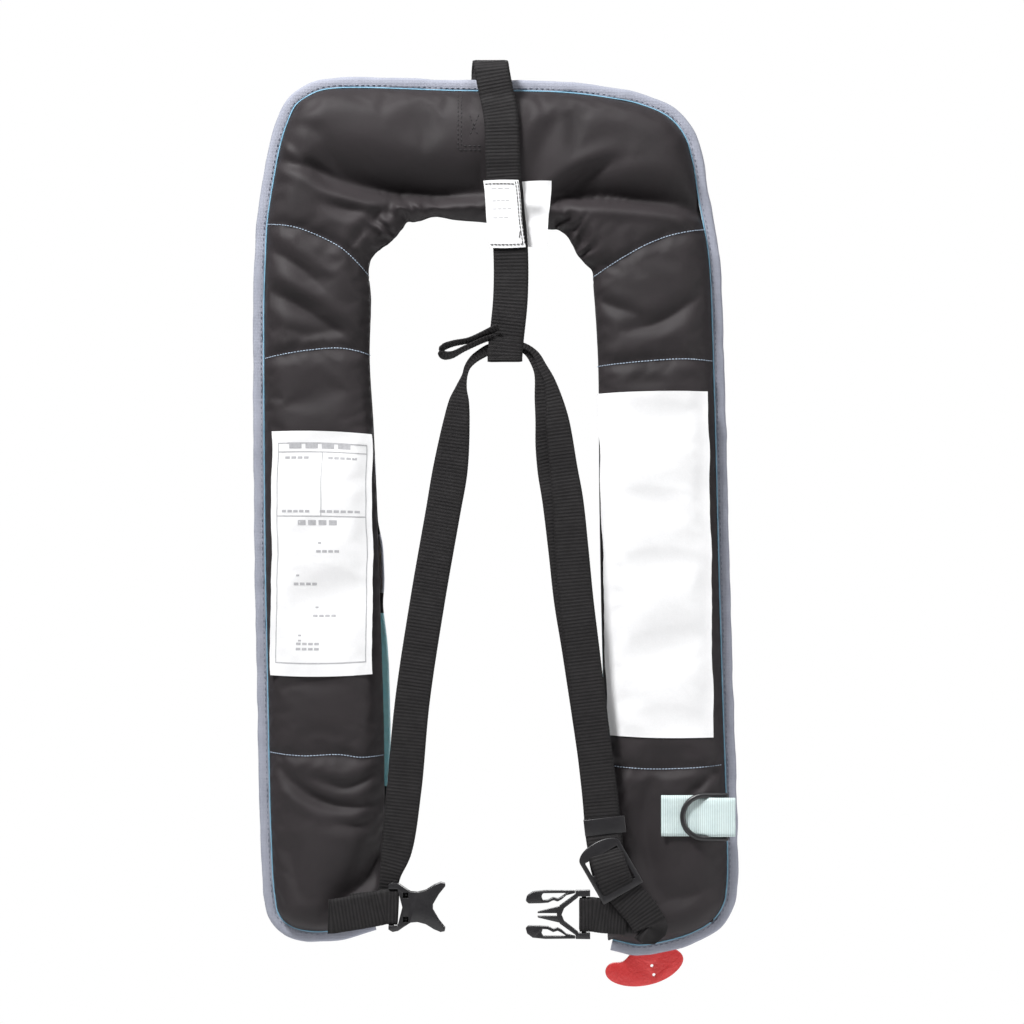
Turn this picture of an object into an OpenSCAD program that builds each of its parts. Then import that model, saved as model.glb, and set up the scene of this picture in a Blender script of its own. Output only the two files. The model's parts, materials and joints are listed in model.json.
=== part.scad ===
// Inflatable life jacket, horseshoe form, hung by the webbing bight at the back of its neck.
// X runs across the jacket, Z up, and the wearer's side faces -Y. The origin is the top of the bight.

/* [Jacket] */
// Depth of the packed jacket on each side of its edge, in mm
half_depth = 22; // [20:1:26]
// Thickness of the coated cloth shells
cloth_t = 1.6; // [1.0:0.1:2.0]
// Width of the edge binding
binding_w = 8; // [6:1:9]
// How far the pillow's top stands in from its edge
crown_inset = 10; // [8:1:14]

/* [Webbing] */
// Width of the webbing
webbing_w = 25; // [22:0.5:26]
// Thickness of the webbing
webbing_t = 1.5; // [1.2:0.1:1.6]

/* [Inflator] */
// Radius of the gas cylinder
cylinder_r = 12.2; // [10:0.1:12.5]
// Length of the gas cylinder above its neck
cylinder_h = 118; // [100:1:140]
// Length of the pull lever
lever_len = 30; // [26:1:30]

/* [Fittings] */
// Radius of the D-ring's wire
ring_wire_r = 2; // [1.6:0.1:2.4]
// Thickness of the buckle
buckle_t = 7; // [6:0.5:8]
// Thickness of the pull handle
handle_t = 4; // [3.6:0.1:4.4]

/* [Hidden] */
$fn = 48;
EPS = 0.1;

CLOTH = [0.27, 0.25, 0.27];
BINDING = [0.62, 0.63, 0.68];
TEAL = [0.36, 0.62, 0.64];
WEBBING = [0.15, 0.14, 0.15];
ACETAL = [0.10, 0.10, 0.11];
PAPER = [0.90, 0.90, 0.88];
RED = [0.80, 0.16, 0.17];
YELLOW = [0.95, 0.80, 0.10];
STEEL = [0.70, 0.72, 0.74];

// The jacket's edge as [x, z], from the left lobe's inner bottom corner, up, over the collar and down.
LEFT_EDGE = [
    [-92, -637], [-110, -642], [-132, -643], [-150, -638], [-161, -627], [-165, -610],
    [-168, -560], [-170, -466], [-172, -364], [-173, -250], [-173, -174], [-172, -145]
];
COLLAR_EDGE = [
    [-168, -116], [-161, -83], [-156, -60], [-147, -34], [-133, -19], [-113, -12], [-20, -15],
    [80, -19], [110, -26], [132, -35], [146, -50], [155, -72], [160, -97], [164, -118]
];
RIGHT_EDGE = [
    [168, -145], [172, -247], [175, -364], [178, -466], [181, -560], [181, -600],
    [178, -618], [168, -633], [152, -643], [130, -650], [108, -653], [88, -649]
];
// The inner edge of each lobe, from the neck down.
LEFT_INNER = [[-87, -154], [-88, -216], [-85, -269], [-80, -393], [-77, -540], [-81.5, -625]];
RIGHT_INNER = [[76, -154], [79, -218], [80, -320], [83, -466], [86, -540], [86, -639]];
// The neck, from left to right.
NECK = [
    [-87, -154], [-80, -138], [-66, -123], [-52, -115.5], [0, -117], [51, -121.5], [62, -136], [70, -147], [76, -154]
];
// Height at which the front flaps meet the collar's cover.
flap_top_z = -160;

edge = concat(LEFT_EDGE, COLLAR_EDGE, RIGHT_EDGE);
left_n = len(LEFT_EDGE);
collar_n = len(COLLAR_EDGE);
last = len(edge) - 1;

function unit(v) = v / norm(v);
function part_of(list, from, to) = [for (i = [from : to]) list[i]];
function backward(list) = [for (i = [len(list) - 1 : -1 : 0]) list[i]];
function heading(path, i) = unit(path[min(i + 1, len(path) - 1)] - path[max(i - 1, 0)]);
// A path moved towards its right-hand side, which is the jacket's inside for the edge.
function inset(path, by) = [for (i = [0 : len(path) - 1])
    let (h = heading(path, i)) path[i] + by * [h.y, -h.x]];
function lifted(path, y) = [for (p = path) [p.x, y, p.y]];
function arc_points(r, from, to, steps) = [for (i = [0 : steps])
    let (a = from + (to - from) * i / steps) r * [cos(a), sin(a)]];

// A closed outline with its corners cut, so that it runs round them.
function eased(loop) = [for (i = [0 : len(loop) - 1])
    let (p = loop[i], q = loop[(i + 1) % len(loop)]) each [p * 0.75 + q * 0.25, p * 0.25 + q * 0.75]];

cloth_edge = inset(edge, binding_w + 0.3);

// How far a panel is drawn past its seam before it is cut there, so that its crown runs up to the seam.
overrun = 16;
// The shoulder seams, as [x, z], from the binding to the neck.
LEFT_SEAM = [[-190, -112], [-168, -119], [-86, -153], [-60, -164]];
RIGHT_SEAM = [[60, -163], [76, -153], [163, -121], [190, -111]];

// Outlines of the cloth panels, as [x, z].
left_lobe = concat(part_of(cloth_edge, 0, left_n), [[-155, -100], [-87, -154 + overrun]], LEFT_INNER);
right_lobe = concat(
    part_of(cloth_edge, left_n + collar_n - 1, last), backward(RIGHT_INNER), [[75, -154 + overrun], [151, -102]]);
collar_band = concat(
    part_of(cloth_edge, left_n + 1, left_n + collar_n - 2), part_of(backward(NECK), 3, 5));
collar_left = concat(
    [[-164, flap_top_z - overrun]], part_of(cloth_edge, left_n, left_n + 6),
    part_of(backward(NECK), 5, 8), [[-88, flap_top_z - overrun]]);
collar_right = concat(
    part_of(cloth_edge, left_n + 7, left_n + collar_n - 1), [[160, flap_top_z - overrun], [77, flap_top_z - overrun]],
    part_of(backward(NECK), 0, 3));

// Layers of the pack, measured along Y.
rim_back = -0.2;
rim_front = 3.5;
binding_y = -1.2;
binding_t = 1.9;
bladder_back = -(half_depth - 3.5);
bladder_front = -9.6;

// Webbing layers in front of the pack on the wearer's side.
layer_1 = -(half_depth + 2.6);
layer_2 = layer_1 - 2.3;
layer_3 = layer_2 - 2.3;

// Inflator places.
inflator_x = 136;
pivot_z = -590;
lever_y = 2.1;
lever_t = 4.2;
lever_rest = 145;
neck_z = -560;
neck_r = 6.3;
manifold_x = 150;
manifold_z = -576;
cylinder_y = 3;

// Oral tube places.
oral_x = -122;
oral_y = 4;
oral_foot_z = -300;
oral_top_z = -206;

// Handle places.
cord_x = inflator_x + lever_len * cos(lever_rest);
cord_top_z = pivot_z + lever_len * sin(lever_rest);
handle_top_z = -646;
handle_y = 0.3;

// Fittings' places.
ring_x = 171;
ring_y = -(half_depth + 5);
ring_z = -549.5;
buckle_y = layer_2 - 3.6;
male_z = -619.5;
male_x = 55;
male_bar = 13;
female_z = -614;
adjuster_at = [86, layer_3 - 2.8, -586];
adjuster_tilt = 30;
keeper_at = [83.2, layer_2 + 1.15, -556];
belt_lean = atan2(16, 140);

// ---------- helpers ----------

// A flat shape drawn in [x, z], from y up to y + t.
module plate(y, t) {
    translate([0, y + t, 0]) rotate([90, 0, 0]) linear_extrude(t) children();
}

// A pillow over an outline, from the rim to the crown; side is -1 for the wearer's side, 1 for the front.
module pillow(outline, rim, crown, grow, side) {
    mid = rim + (crown - rim) * 0.6;
    hull() {
        plate(rim - (side > 0 ? 0 : EPS), EPS) offset(delta = grow) polygon(outline);
        plate(mid - (side > 0 ? 0 : EPS), EPS) offset(delta = grow - crown_inset * 0.3) polygon(outline);
        plate(crown - (side > 0 ? EPS : 0), EPS) offset(delta = grow - crown_inset) polygon(outline);
    }
}

// A cloth shell on one side of the edge, open towards it.
module shell(outlines, rim, side) {
    difference() {
        for (o = outlines) pillow(o, rim, side * half_depth, 0, side);
        for (o = outlines) pillow(o, rim - side, side * (half_depth - cloth_t), -cloth_t, side);
    }
}

// A flat band swept along 3-D points; across is its width's direction, else it lies in the XZ plane.
module band(points, width, t, across = undef) {
    count = len(points);
    function way(i) = unit(points[min(i + 1, count - 1)] - points[max(i - 1, 0)]);
    function side(i) = is_undef(across) ? unit([-way(i).z, 0, way(i).x]) : unit(across);
    function wide(i) = is_list(width) ? width[i] : width;
    corners = [for (i = [0 : count - 1])
        let (s = side(i) * wide(i) / 2, n = unit(cross(side(i), way(i))) * t / 2)
        each [points[i] - s - n, points[i] + s - n, points[i] + s + n, points[i] - s + n]];
    sides = [for (i = [0 : count - 2], k = [0 : 3])
        [4 * i + k, 4 * i + (k + 1) % 4, 4 * i + 4 + (k + 1) % 4, 4 * i + 4 + k]];
    polyhedron(corners, concat([[3, 2, 1, 0]], sides, [[for (k = [0 : 3]) 4 * (count - 1) + k]]), convexity = 6);
}

// A round tube swept along 3-D points with eight sides.
module tube_along(points, r) {
    count = len(points);
    function way(i) = unit(points[min(i + 1, count - 1)] - points[max(i - 1, 0)]);
    function first(i) = unit(cross(way(i), [0.31, 0.9, 0.3]));
    rings = [for (i = [0 : count - 1], k = [0 : 7])
        let (u = first(i), v = cross(way(i), u)) points[i] + r * (u * cos(45 * k) + v * sin(45 * k))];
    sides = [for (i = [0 : count - 2], k = [0 : 7])
        let (a = 8 * i + k, b = 8 * i + (k + 1) % 8) each [[a, b, b + 8], [a, b + 8, a + 8]]];
    ends = [[for (k = [7 : -1 : 0]) k], [for (k = [0 : 7]) 8 * (count - 1) + k]];
    polyhedron(rings, concat(sides, ends), convexity = 8);
}

// A cylinder along Y, from y up.
module rod_y(x, y, z, r, h) {
    translate([x, y + h, z]) rotate([90, 0, 0]) cylinder(r = r, h = h);
}

// ---------- covers ----------

// Everything above the shoulder seams, raised by a gap.
module above_seams(gap) {
    translate([0, 0, gap]) plate(-60, 120)
        polygon(concat(LEFT_SEAM, [[-50, -200], [50, -200]], RIGHT_SEAM, [[200, 40], [-200, 40]]));
}

module collar_back_panel() {
    color(CLOTH) intersection() {
        shell([collar_left, collar_band, collar_right], rim_back, -1);
        above_seams(0.4);
    }
}

module left_back_panel() {
    color(CLOTH) difference() {
        shell([left_lobe], rim_back, -1);
        above_seams(0);
    }
}

module right_back_panel() {
    color(CLOTH) difference() {
        shell([right_lobe], rim_back, -1);
        above_seams(0);
    }
}

// The front cover of the collar ends level, a little above the flaps.
module collar_front_cover() {
    color(ACETAL) difference() {
        shell([collar_left, collar_band, collar_right], rim_front, 1);
        translate([-250, 0, flap_top_z - 97]) cube([500, 60, 100]);
    }
}

// A front flap is the lobe's pillow cut off level at its top.
module flap(outline) {
    intersection() {
        shell([outline], rim_front, 1);
        translate([-250, 0, -700]) cube([500, 60, 700 + flap_top_z]);
    }
}

module left_flap() {
    color(TEAL) flap(left_lobe);
}

module right_flap() {
    color(TEAL) flap(right_lobe);
}

module edge_binding(from, to) {
    centre = inset(edge, binding_w / 2);
    color(BINDING) band(lifted(part_of(centre, from, to), binding_y), binding_w, binding_t);
}

module left_binding() {
    edge_binding(0, left_n);
}

module collar_binding() {
    edge_binding(left_n, left_n + collar_n - 1);
}

module right_binding() {
    edge_binding(left_n + collar_n - 1, last);
}

module closing_strip(from, to, y) {
    strip_w = 10;
    centre = inset(edge, binding_w + 1 + strip_w / 2);
    color(ACETAL) band(lifted(part_of(centre, from, to), y), strip_w, 1);
}

module left_hook_strip() {
    closing_strip(6, 10, 0.6);
}

module left_loop_strip() {
    closing_strip(6, 10, 2.2);
}

module right_hook_strip() {
    closing_strip(left_n + collar_n + 1, left_n + collar_n + 5, 0.6);
}

module right_loop_strip() {
    closing_strip(left_n + collar_n + 1, left_n + collar_n + 5, 2.2);
}

// ---------- bladder ----------

horseshoe = concat(edge, backward(RIGHT_INNER), part_of(backward(NECK), 1, 7), LEFT_INNER);

// The bladder, folded flat, fills the pack behind the inflator.
module bladder() {
    bladder_inset = 21.5;
    color(YELLOW) plate(bladder_back, bladder_front - bladder_back)
        offset(delta = -bladder_inset) polygon(horseshoe);
}

module reflective_tape() {
    tape_w = 48;
    color(STEEL) for (x = [-132, 134]) {
        plate(bladder_front, 0.3) translate([x - tape_w / 2 + 6, -225]) square([tape_w - 8, 50]);
    }
}

// ---------- labels ----------

label_y = -(half_depth + 0.9);

module label_sheet(corners) {
    color(PAPER) plate(label_y, 0.5) polygon(corners);
}

module inflation_label() {
    label_sheet([[-158, -270], [-85, -272], [-85, -446], [-159, -447]]);
}

module approval_label() {
    label_sheet([[78, -243], [158, -242], [162, -495], [85, -495]]);
}

// A folded leaf in front of the back strap and a second leaf beside it.
module care_label() {
    front = layer_1 - 1.5;
    color(PAPER) {
        plate(front, 0.5) polygon([[-4, -89], [22, -89], [25, -137], [0, -137.5]]);
        plate(front + 0.4, 0.5) polygon([[24, -89.5], [45, -89], [41, -136], [28.4, -136.5]]);
    }
}

// ---------- webbing ----------

strap_eye_z = -219;

module back_strap() {
    points = [
        [-1, 2.2, -13.2], [-1, 3.2, -8], [-0.5, 1.6, -2.6], [0, -3, -0.9], [0, -12, -1.2], [1, -19, -4.5],
        [2, layer_1 + 0.6, -11], [4, layer_1, -22], [8, layer_1, -42], [10, layer_1, -86], [15, layer_1, -137],
        [15, layer_1, -174], [12, layer_1, -205], [11, layer_1 - 0.4, strap_eye_z + 1],
        [11, layer_1 - 2.6, strap_eye_z - 1.4], [11, layer_3 - 0.6, strap_eye_z + 0.4],
        [11, layer_3 - 1, strap_eye_z + 4], [12, layer_3 - 1, -203]
    ];
    color(WEBBING) band(points, webbing_w, webbing_t, [1, 0, 0]);
}

// A short tab folded on itself, sewn beside the strap's eye.
module strap_tab() {
    points = [[-2, layer_3 - 2, -204], [-32, layer_3 - 2, -203], [-36, layer_3 - 1.1, -203],
        [-32, layer_3 - 0.2, -203], [-2, layer_3 - 0.2, -204]];
    color(WEBBING) band(points, 21, 1.2, [0, 0, 1]);
}

module belt_left() {
    points = [
        [12, layer_2, -210], [-3, layer_2, -211], [-10, layer_2, -217], [-17, layer_2, -230], [-23, layer_2, -247],
        [-26, layer_2 + 0.6, -284], [-31, layer_1, -320], [-45, layer_1, -393], [-56, layer_1, -466],
        [-64, layer_1, -540], [-70, layer_1, -590], [-72, layer_1, -606]
    ];
    widths = [12, 12, 9, 9, 13, 22, 25, 25, 25, 25, 25, 25];
    color(WEBBING) band(points, widths, webbing_t);
}

module belt_right_inner() {
    points = [
        [12.6, layer_2, -210], [24, layer_2, -209], [32, layer_2, -214], [37, layer_2, -228],
        [43, layer_2 + 0.6, -250], [48, layer_1, -284], [51, layer_1, -320], [60, layer_1, -380],
        [69, layer_1, -440], [86, layer_1, -585]
    ];
    widths = [12, 12, 10, 14, 20, 25, 25, 25, 25, 25];
    color(WEBBING) band(points, widths, webbing_t);
}

module belt_right_outer() {
    points = [
        [38, layer_3, -232], [46, layer_3, -250], [51, layer_3, -284], [56, layer_2, -320],
        [64, layer_2, -380], [70, layer_2, -440], [86, layer_2, -585]
    ];
    widths = [14, 20, 25, 25, 25, 25, 25];
    color(WEBBING) band(points, widths, webbing_t);
}

// The tail that goes round the female buckle's bar.
module left_tail() {
    bar_x = -70.5;
    y = buckle_y;
    points = [
        [-100, y + 2.1, -617], [-80, y + 2.1, -615], [-76, y + 2.1, female_z], [bar_x, y + 2.1, female_z],
        [bar_x + 2.2, y + 1.9, female_z], [bar_x + 2.8, y, female_z], [bar_x + 2.2, y - 1.9, female_z],
        [bar_x, y - 2.1, female_z], [-76, y - 2.1, female_z], [-80, y - 2.1, -615], [-112, y - 2.1, -618]
    ];
    color(WEBBING) band(points, webbing_w, 1.2, [0, 0, 1]);
}

// From the adjuster to a folded corner, and back round the male buckle's bar.
module right_tail() {
    bar_x = male_x + male_bar;
    y = buckle_y;
    color(WEBBING) {
        band([[95, layer_1, -597], [116, layer_1, -626]], webbing_w, webbing_t);
        band([
            [120, layer_1 - 1, -622], [100, layer_1 - 1, -621.5], [84, layer_1 - 1.6, -621], [76, y + 2.1, -620.2],
            [bar_x, y + 2.1, male_z], [bar_x - 2.2, y + 1.9, male_z], [bar_x - 2.8, y, male_z],
            [bar_x - 2.2, y - 1.9, male_z], [bar_x, y - 2.1, male_z], [76, y - 2.1, -620.2],
            [82, layer_2 - 1.4, -621], [108, layer_2 - 0.6, -621.5]
        ], webbing_w, 1.2, [0, 0, 1]);
    }
}

// ---------- fittings ----------

module strap_keeper() {
    inside_w = webbing_w + 1.4;
    inside_t = 4.4;
    wall = 1.2;
    color(ACETAL) translate(keeper_at) rotate([0, -belt_lean, 0]) difference() {
        cube([inside_w + 2 * wall + 1, inside_t + 2 * wall, 12], center = true);
        cube([inside_w, inside_t, 13], center = true);
    }
}

// A frame of three bars; the webbing wraps its middle bar.
module adjuster() {
    frame_w = 33;
    frame_h = 42;
    frame_t = 3.2;
    slot_h = 11;
    bar_h = 5;
    color(ACETAL) translate(adjuster_at) rotate([90, -adjuster_tilt, 0]) difference() {
        linear_extrude(frame_t, center = true) union() {
            translate([0, -4]) square([frame_w, frame_h - 8], center = true);
            translate([0, frame_h / 2 - 8]) scale([1, 0.48]) circle(r = frame_w / 2);
        }
        for (s = [-1, 1]) translate([0, s * (slot_h + bar_h) / 2 - 2, 0])
            cube([webbing_w + 1.4, slot_h, frame_t + 1], center = true);
    }
}

// The webbing's bars: half their thickness, half their width, and half the length of their slots.
bar_half = 1.1;
bar_reach = 1.6;
slot_half = 13.2;

// A forked base: a bent bar on the left, an end block above and below, and the webbing's bar between them.
module male_buckle() {
    upper = [[7, 14.6], [7, 17.4], [17.5, 17.6]];
    color(ACETAL) translate([male_x, buckle_y - buckle_t / 2, male_z]) {
        plate(0, buckle_t) difference() {
            polygon(concat([[-6.6, 0], [-4.4, 6.4]], upper, [for (p = backward(upper)) [p.x, -p.y]], [[-4.4, -6.4]]));
            polygon([
                [-3.2, 0], [-1.2, 4.8], [8.8, 12.6], [8.8, slot_half], [20, slot_half],
                [20, -slot_half], [8.8, -slot_half], [8.8, -12.6], [-1.2, -4.8]
            ]);
        }
        plate(buckle_t / 2 - bar_half, 2 * bar_half)
            translate([male_bar - bar_reach, -slot_half - 1]) square([2 * bar_reach, 2 * slot_half + 2]);
        for (s = [-1, 1]) plate(1.6, buckle_t - 3.2)
            polygon([[-20.5, s * 1], [-20.2, s * 2.2], [-4, s * 6], [-5.6, s * 1]]);
    }
}

// One flexing arm, a rail and a curved rib with a pad at their end; side is 1 for the upper and -1 for the lower.
module latch(side) {
    color(ACETAL) translate([male_x, buckle_y - buckle_t / 2 + 1, male_z]) plate(0, buckle_t - 2) difference() {
        polygon([for (p = [
            [6.7, 17.3], [-5, 17.5], [-15, 17.5], [-24, 16.6], [-28, 13.6], [-29, 10], [-27, 8],
            [-18, 8.2], [-12.8, 8.6], [-9, 10.4], [-6, 9.4], [-3, 11], [0.4, 14], [6.7, 15.5]
        ]) [p.x, side * p.y]]);
        polygon([for (p = [
            [0.6, 15.6], [-6, 15.5], [-16.5, 15.4], [-17.6, 13.4], [-16.8, 10.4],
            [-13.2, 10.6], [-9.2, 12.6], [-6, 11.6], [-3.6, 12.8]
        ]) [p.x, side * p.y]]);
    }
}

module latch_upper() {
    latch(1);
}

module latch_lower() {
    latch(-1);
}

// A waisted socket with a hollow mouth, open at its sides, and a slotted back end for the webbing.
module female_buckle() {
    mouth_x = -32;
    half = [
        [-9, 2], [-4.6, 9.5], [0, 15.2], [-0.4, 17.2], [-3.4, 17.8], [-8, 15.9], [-14, 12.2], [-20, 10.6],
        [-25, 11], [-30, 14.2], [-34, 17], [-38, 17.8], [-41, 16]
    ];
    color(ACETAL) translate([mouth_x, buckle_y - buckle_t / 2 - 1, female_z]) difference() {
        plate(0, buckle_t + 2) polygon(concat(half, [for (p = backward(half)) [p.x, -p.y]]));
        translate([-26, 2, -14]) cube([27, buckle_t - 2, 28]);
        plate(-1, buckle_t + 4) polygon([
            [-37.2, slot_half], [-34.4, slot_half], [-31, 0], [-34.4, -slot_half], [-37.2, -slot_half]
        ]);
        for (y = [-1, buckle_t / 2 + 1 + bar_half]) translate([-42, y, -slot_half])
            cube([5, buckle_t / 2 - bar_half + 2, 2 * slot_half]);
        for (s = [-1, 1]) translate([-30.6, -1, s * 8.7 - 2]) cube([4, buckle_t + 4, 4]);
    }
}

// The bar, two straight legs and a half ring.
module d_ring() {
    half_h = 15.5;
    leg = 16;
    color(ACETAL) translate([ring_x, ring_y, ring_z]) {
        translate([0, 0, -half_h]) cylinder(r = ring_wire_r, h = 2 * half_h);
        for (s = [-1, 1]) translate([0, 0, s * half_h]) {
            sphere(r = ring_wire_r);
            rotate([0, -90, 0]) cylinder(r = ring_wire_r, h = leg);
        }
        translate([-leg, 0, 0]) rotate([90, 0, 0]) rotate([0, 0, 90])
            rotate_extrude(angle = 180) translate([half_h, 0]) circle(r = ring_wire_r, $fn = 24);
    }
}

// The webbing passes under the ring's arc, up through the ring and over its bar, to the edge.
module d_ring_webbing() {
    gap = ring_wire_r + 1;
    under = -(half_depth + 0.8);
    points = [
        [125, under, ring_z], [146, under, ring_z], [155, ring_y + 1, ring_z], [163, ring_y - gap + 0.4, ring_z],
        [ring_x, ring_y - gap, ring_z], [176.5, ring_y - gap + 0.4, ring_z]
    ];
    color(TEAL) band(points, webbing_w + 0.9, 1.3, [0, 0, 1]);
}

// ---------- inflator ----------

module gas_cylinder() {
    shoulder = 14;
    color(STEEL) translate([inflator_x, cylinder_y, neck_z]) rotate_extrude() difference() {
        polygon(concat(
            [[0, 0], [neck_r, 0], [neck_r, shoulder - 1], [neck_r + 1, shoulder]],
            [[cylinder_r - 1, shoulder + 5], [cylinder_r, shoulder + 8]],
            [for (p = arc_points(cylinder_r, 0, 90, 8)) [p.x, p.y + shoulder + cylinder_h - cylinder_r - 14]]
        ));
        square([2.2, 9]);
    }
}

module cylinder_gasket() {
    color(ACETAL) translate([inflator_x, cylinder_y, neck_z - 1.4]) difference() {
        cylinder(r = 6.1, h = 1.2);
        translate([0, 0, -1]) cylinder(r = 2.2, h = 3);
    }
}

body_x = [125, 160];
body_y = [-6, 13];
body_z = [-600, -566];
slot_t = lever_t + 0.8;

module inflator_body() {
    color(ACETAL) difference() {
        union() {
            translate([body_x[0], body_y[0], body_z[0]])
                cube([body_x[1] - body_x[0], body_y[1] - body_y[0], body_z[1] - body_z[0]]);
            translate([inflator_x, cylinder_y, body_z[1] - 1]) cylinder(r = 9.5, h = 19);
        }
        translate([inflator_x, cylinder_y, neck_z - 1.6]) cylinder(r = neck_r + 0.3, h = 20);
        translate([inflator_x, cylinder_y, pivot_z]) cylinder(r = 2.8, h = 40);
        translate([body_x[0] - 1, lever_y - slot_t / 2, body_z[0] - 1])
            cube([inflator_x + 9.5 - body_x[0], slot_t, 27]);
        rod_y(inflator_x, body_y[0] - 1, pivot_z, 1.6, 30);
        rod_y(manifold_x, body_y[0] - 1, manifold_z, 4.5, 30);
    }
}

module firing_pin() {
    foot_z = pivot_z + 6.5;
    color(STEEL) translate([inflator_x, cylinder_y, foot_z]) {
        cylinder(r = 2.5, h = 16);
        translate([0, 0, 15.9]) cylinder(r1 = 1.6, r2 = 0.5, h = 5.2, $fn = 24);
    }
}

// Hub, cam and arm in one flat piece; the cam lifts the firing pin as the arm comes down.
module pull_lever() {
    cam = [for (a = [lever_rest - 125]) 3.5 * [cos(a), sin(a)]][0];
    tip = lever_len * [cos(lever_rest), sin(lever_rest)];
    arm_w = 7;
    color(ACETAL) difference() {
        translate([inflator_x, 0, pivot_z]) plate(lever_y - lever_t / 2, lever_t) {
            circle(r = 5);
            translate(cam) circle(r = 4.5);
            translate(tip) circle(r = 4.5);
            rotate(lever_rest) translate([0, -arm_w / 2]) square([lever_len, arm_w]);
        }
        rod_y(inflator_x, -10, pivot_z, 1.6, 30);
        rod_y(cord_x, -10, cord_top_z, 1.6, 30);
    }
}

module lever_pin() {
    color(STEEL) rod_y(inflator_x, body_y[0] + 0.5, pivot_z, 1.5, body_y[1] - body_y[0] - 1);
}

module pull_cord() {
    points = [[cord_x, lever_y, cord_top_z - 5.8], [cord_x, lever_y, -600], [cord_x, lever_y, -625],
        [cord_x, lever_y, handle_top_z - 7]];
    color(RED) tube_along(points, 1.1);
}

// A kidney-shaped grip with two small holes and a blind socket for the cord.
module pull_handle() {
    grip = [
        [101, -655], [96.5, -658.6], [89, -658.6], [85, -662], [84, -666.7], [87.7, -671.8], [96.5, -675.4],
        [108, -676.2], [120.6, -674], [131.6, -669], [139, -662.3], [141.8, -656.4], [140.4, -652],
        [134, -647.6], [120, handle_top_z], [106, -647.6]
    ];
    color(RED) difference() {
        plate(handle_y, handle_t) polygon(eased(eased(grip)));
        rod_y(118.4, -1, -660.8, 1.2, 8);
        rod_y(119.9, -1, -667.4, 1.2, 8);
        translate([cord_x, lever_y, handle_top_z - 8]) cylinder(r = 1.3, h = 9);
    }
}

module manifold() {
    color(ACETAL) {
        rod_y(manifold_x - 4, bladder_front + 0.1, manifold_z, 12, 1.4);
        rod_y(manifold_x, bladder_front + 1, manifold_z, 4.2, body_y[1] + 4 - bladder_front - 1);
    }
}

module manifold_nut() {
    color(ACETAL) difference() {
        rod_y(manifold_x, body_y[1] + 0.2, manifold_z, 7, 4.4);
        rod_y(manifold_x, body_y[1], manifold_z, 4.4, 4.1);
    }
}

// ---------- oral tube and whistle ----------

module oral_tube() {
    color(ACETAL) difference() {
        union() {
            rod_y(oral_x, bladder_front + 0.1, oral_foot_z, 13, 1.4);
            rod_y(oral_x, bladder_front + 1, oral_foot_z, 6, oral_y - bladder_front - 1);
            translate([oral_x, oral_y, oral_foot_z]) sphere(r = 6);
            translate([oral_x, oral_y, oral_foot_z]) cylinder(r = 6, h = oral_top_z - oral_foot_z - 10);
            translate([oral_x, oral_y, oral_top_z - 22]) cylinder(r = 8, h = 22);
        }
        translate([oral_x, oral_y, oral_foot_z]) cylinder(r = 4.2, h = 120);
        translate([oral_x, oral_y, oral_top_z - 16]) cylinder(r = 6.2, h = 20);
    }
}

module oral_valve_stem() {
    color(ACETAL) translate([oral_x, oral_y, oral_top_z]) {
        translate([0, 0, -3]) cylinder(r = 5.8, h = 2.4);
        translate([0, 0, -24]) cylinder(r = 1.5, h = 22);
        translate([0, 0, -24]) cylinder(r = 3.6, h = 2);
    }
}

module oral_valve_spring() {
    turns = 4;
    steps = 44;
    points = [for (i = [0 : steps]) [
        oral_x + 4.6 * cos(360 * turns * i / steps),
        oral_y + 4.6 * sin(360 * turns * i / steps),
        oral_top_z - 15.4 + 11.8 * i / steps
    ]];
    color(STEEL) tube_along(points, 0.45);
}

module oral_dust_cap() {
    color(ACETAL) translate([oral_x, oral_y, oral_top_z - 9]) difference() {
        cylinder(r = 9.6, h = 12.4);
        translate([0, 0, -1]) cylinder(r = 8.3, h = 11.4);
    }
}

whistle_top_z = -352;

module whistle() {
    color("orangered") difference() {
        union() {
            translate([oral_x - 8, oral_y - 5, whistle_top_z - 40]) cube([16, 10, 36]);
            rod_y(oral_x, oral_y - 2, whistle_top_z - 4, 5, 4);
        }
        rod_y(oral_x, oral_y - 5, whistle_top_z - 3, 1.8, 12);
        for (x = [-6.5, 1]) translate([oral_x + x, oral_y - 3.4, whistle_top_z - 41]) cube([5.5, 6.8, 34]);
        for (x = [-6.5, 1]) translate([oral_x + x, oral_y - 6, whistle_top_z - 18]) cube([5.5, 4, 5]);
    }
}

module whistle_cord() {
    color(ACETAL) tube_along([[oral_x, oral_y, whistle_top_z + 2.2], [oral_x, oral_y, oral_foot_z - 22],
        [oral_x, oral_y, oral_foot_z - 6.2]], 1.1);
}

// ---------- the nodes ----------

collar_back_panel();
left_back_panel();
right_back_panel();
collar_front_cover();
left_flap();
right_flap();
collar_binding();
left_binding();
right_binding();
left_hook_strip();
right_hook_strip();
left_loop_strip();
right_loop_strip();
bladder();
reflective_tape();
inflation_label();
approval_label();
care_label();
back_strap();
strap_tab();
belt_left();
belt_right_inner();
belt_right_outer();
left_tail();
right_tail();
strap_keeper();
adjuster();
male_buckle();
latch_upper();
latch_lower();
female_buckle();
d_ring();
d_ring_webbing();
gas_cylinder();
cylinder_gasket();
inflator_body();
firing_pin();
pull_lever();
lever_pin();
pull_cord();
pull_handle();
manifold();
manifold_nut();
oral_tube();
oral_valve_stem();
oral_valve_spring();
oral_dust_cap();
whistle();
whistle_cord();
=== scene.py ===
# An inflatable life jacket hung up with the wearer's side to the camera.
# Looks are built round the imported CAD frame; lengths below are in millimetres, turned to metres by MM.
import json
import math

import bmesh
import bpy
import numpy as np
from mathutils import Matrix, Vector
from mathutils.bvhtree import BVHTree

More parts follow.
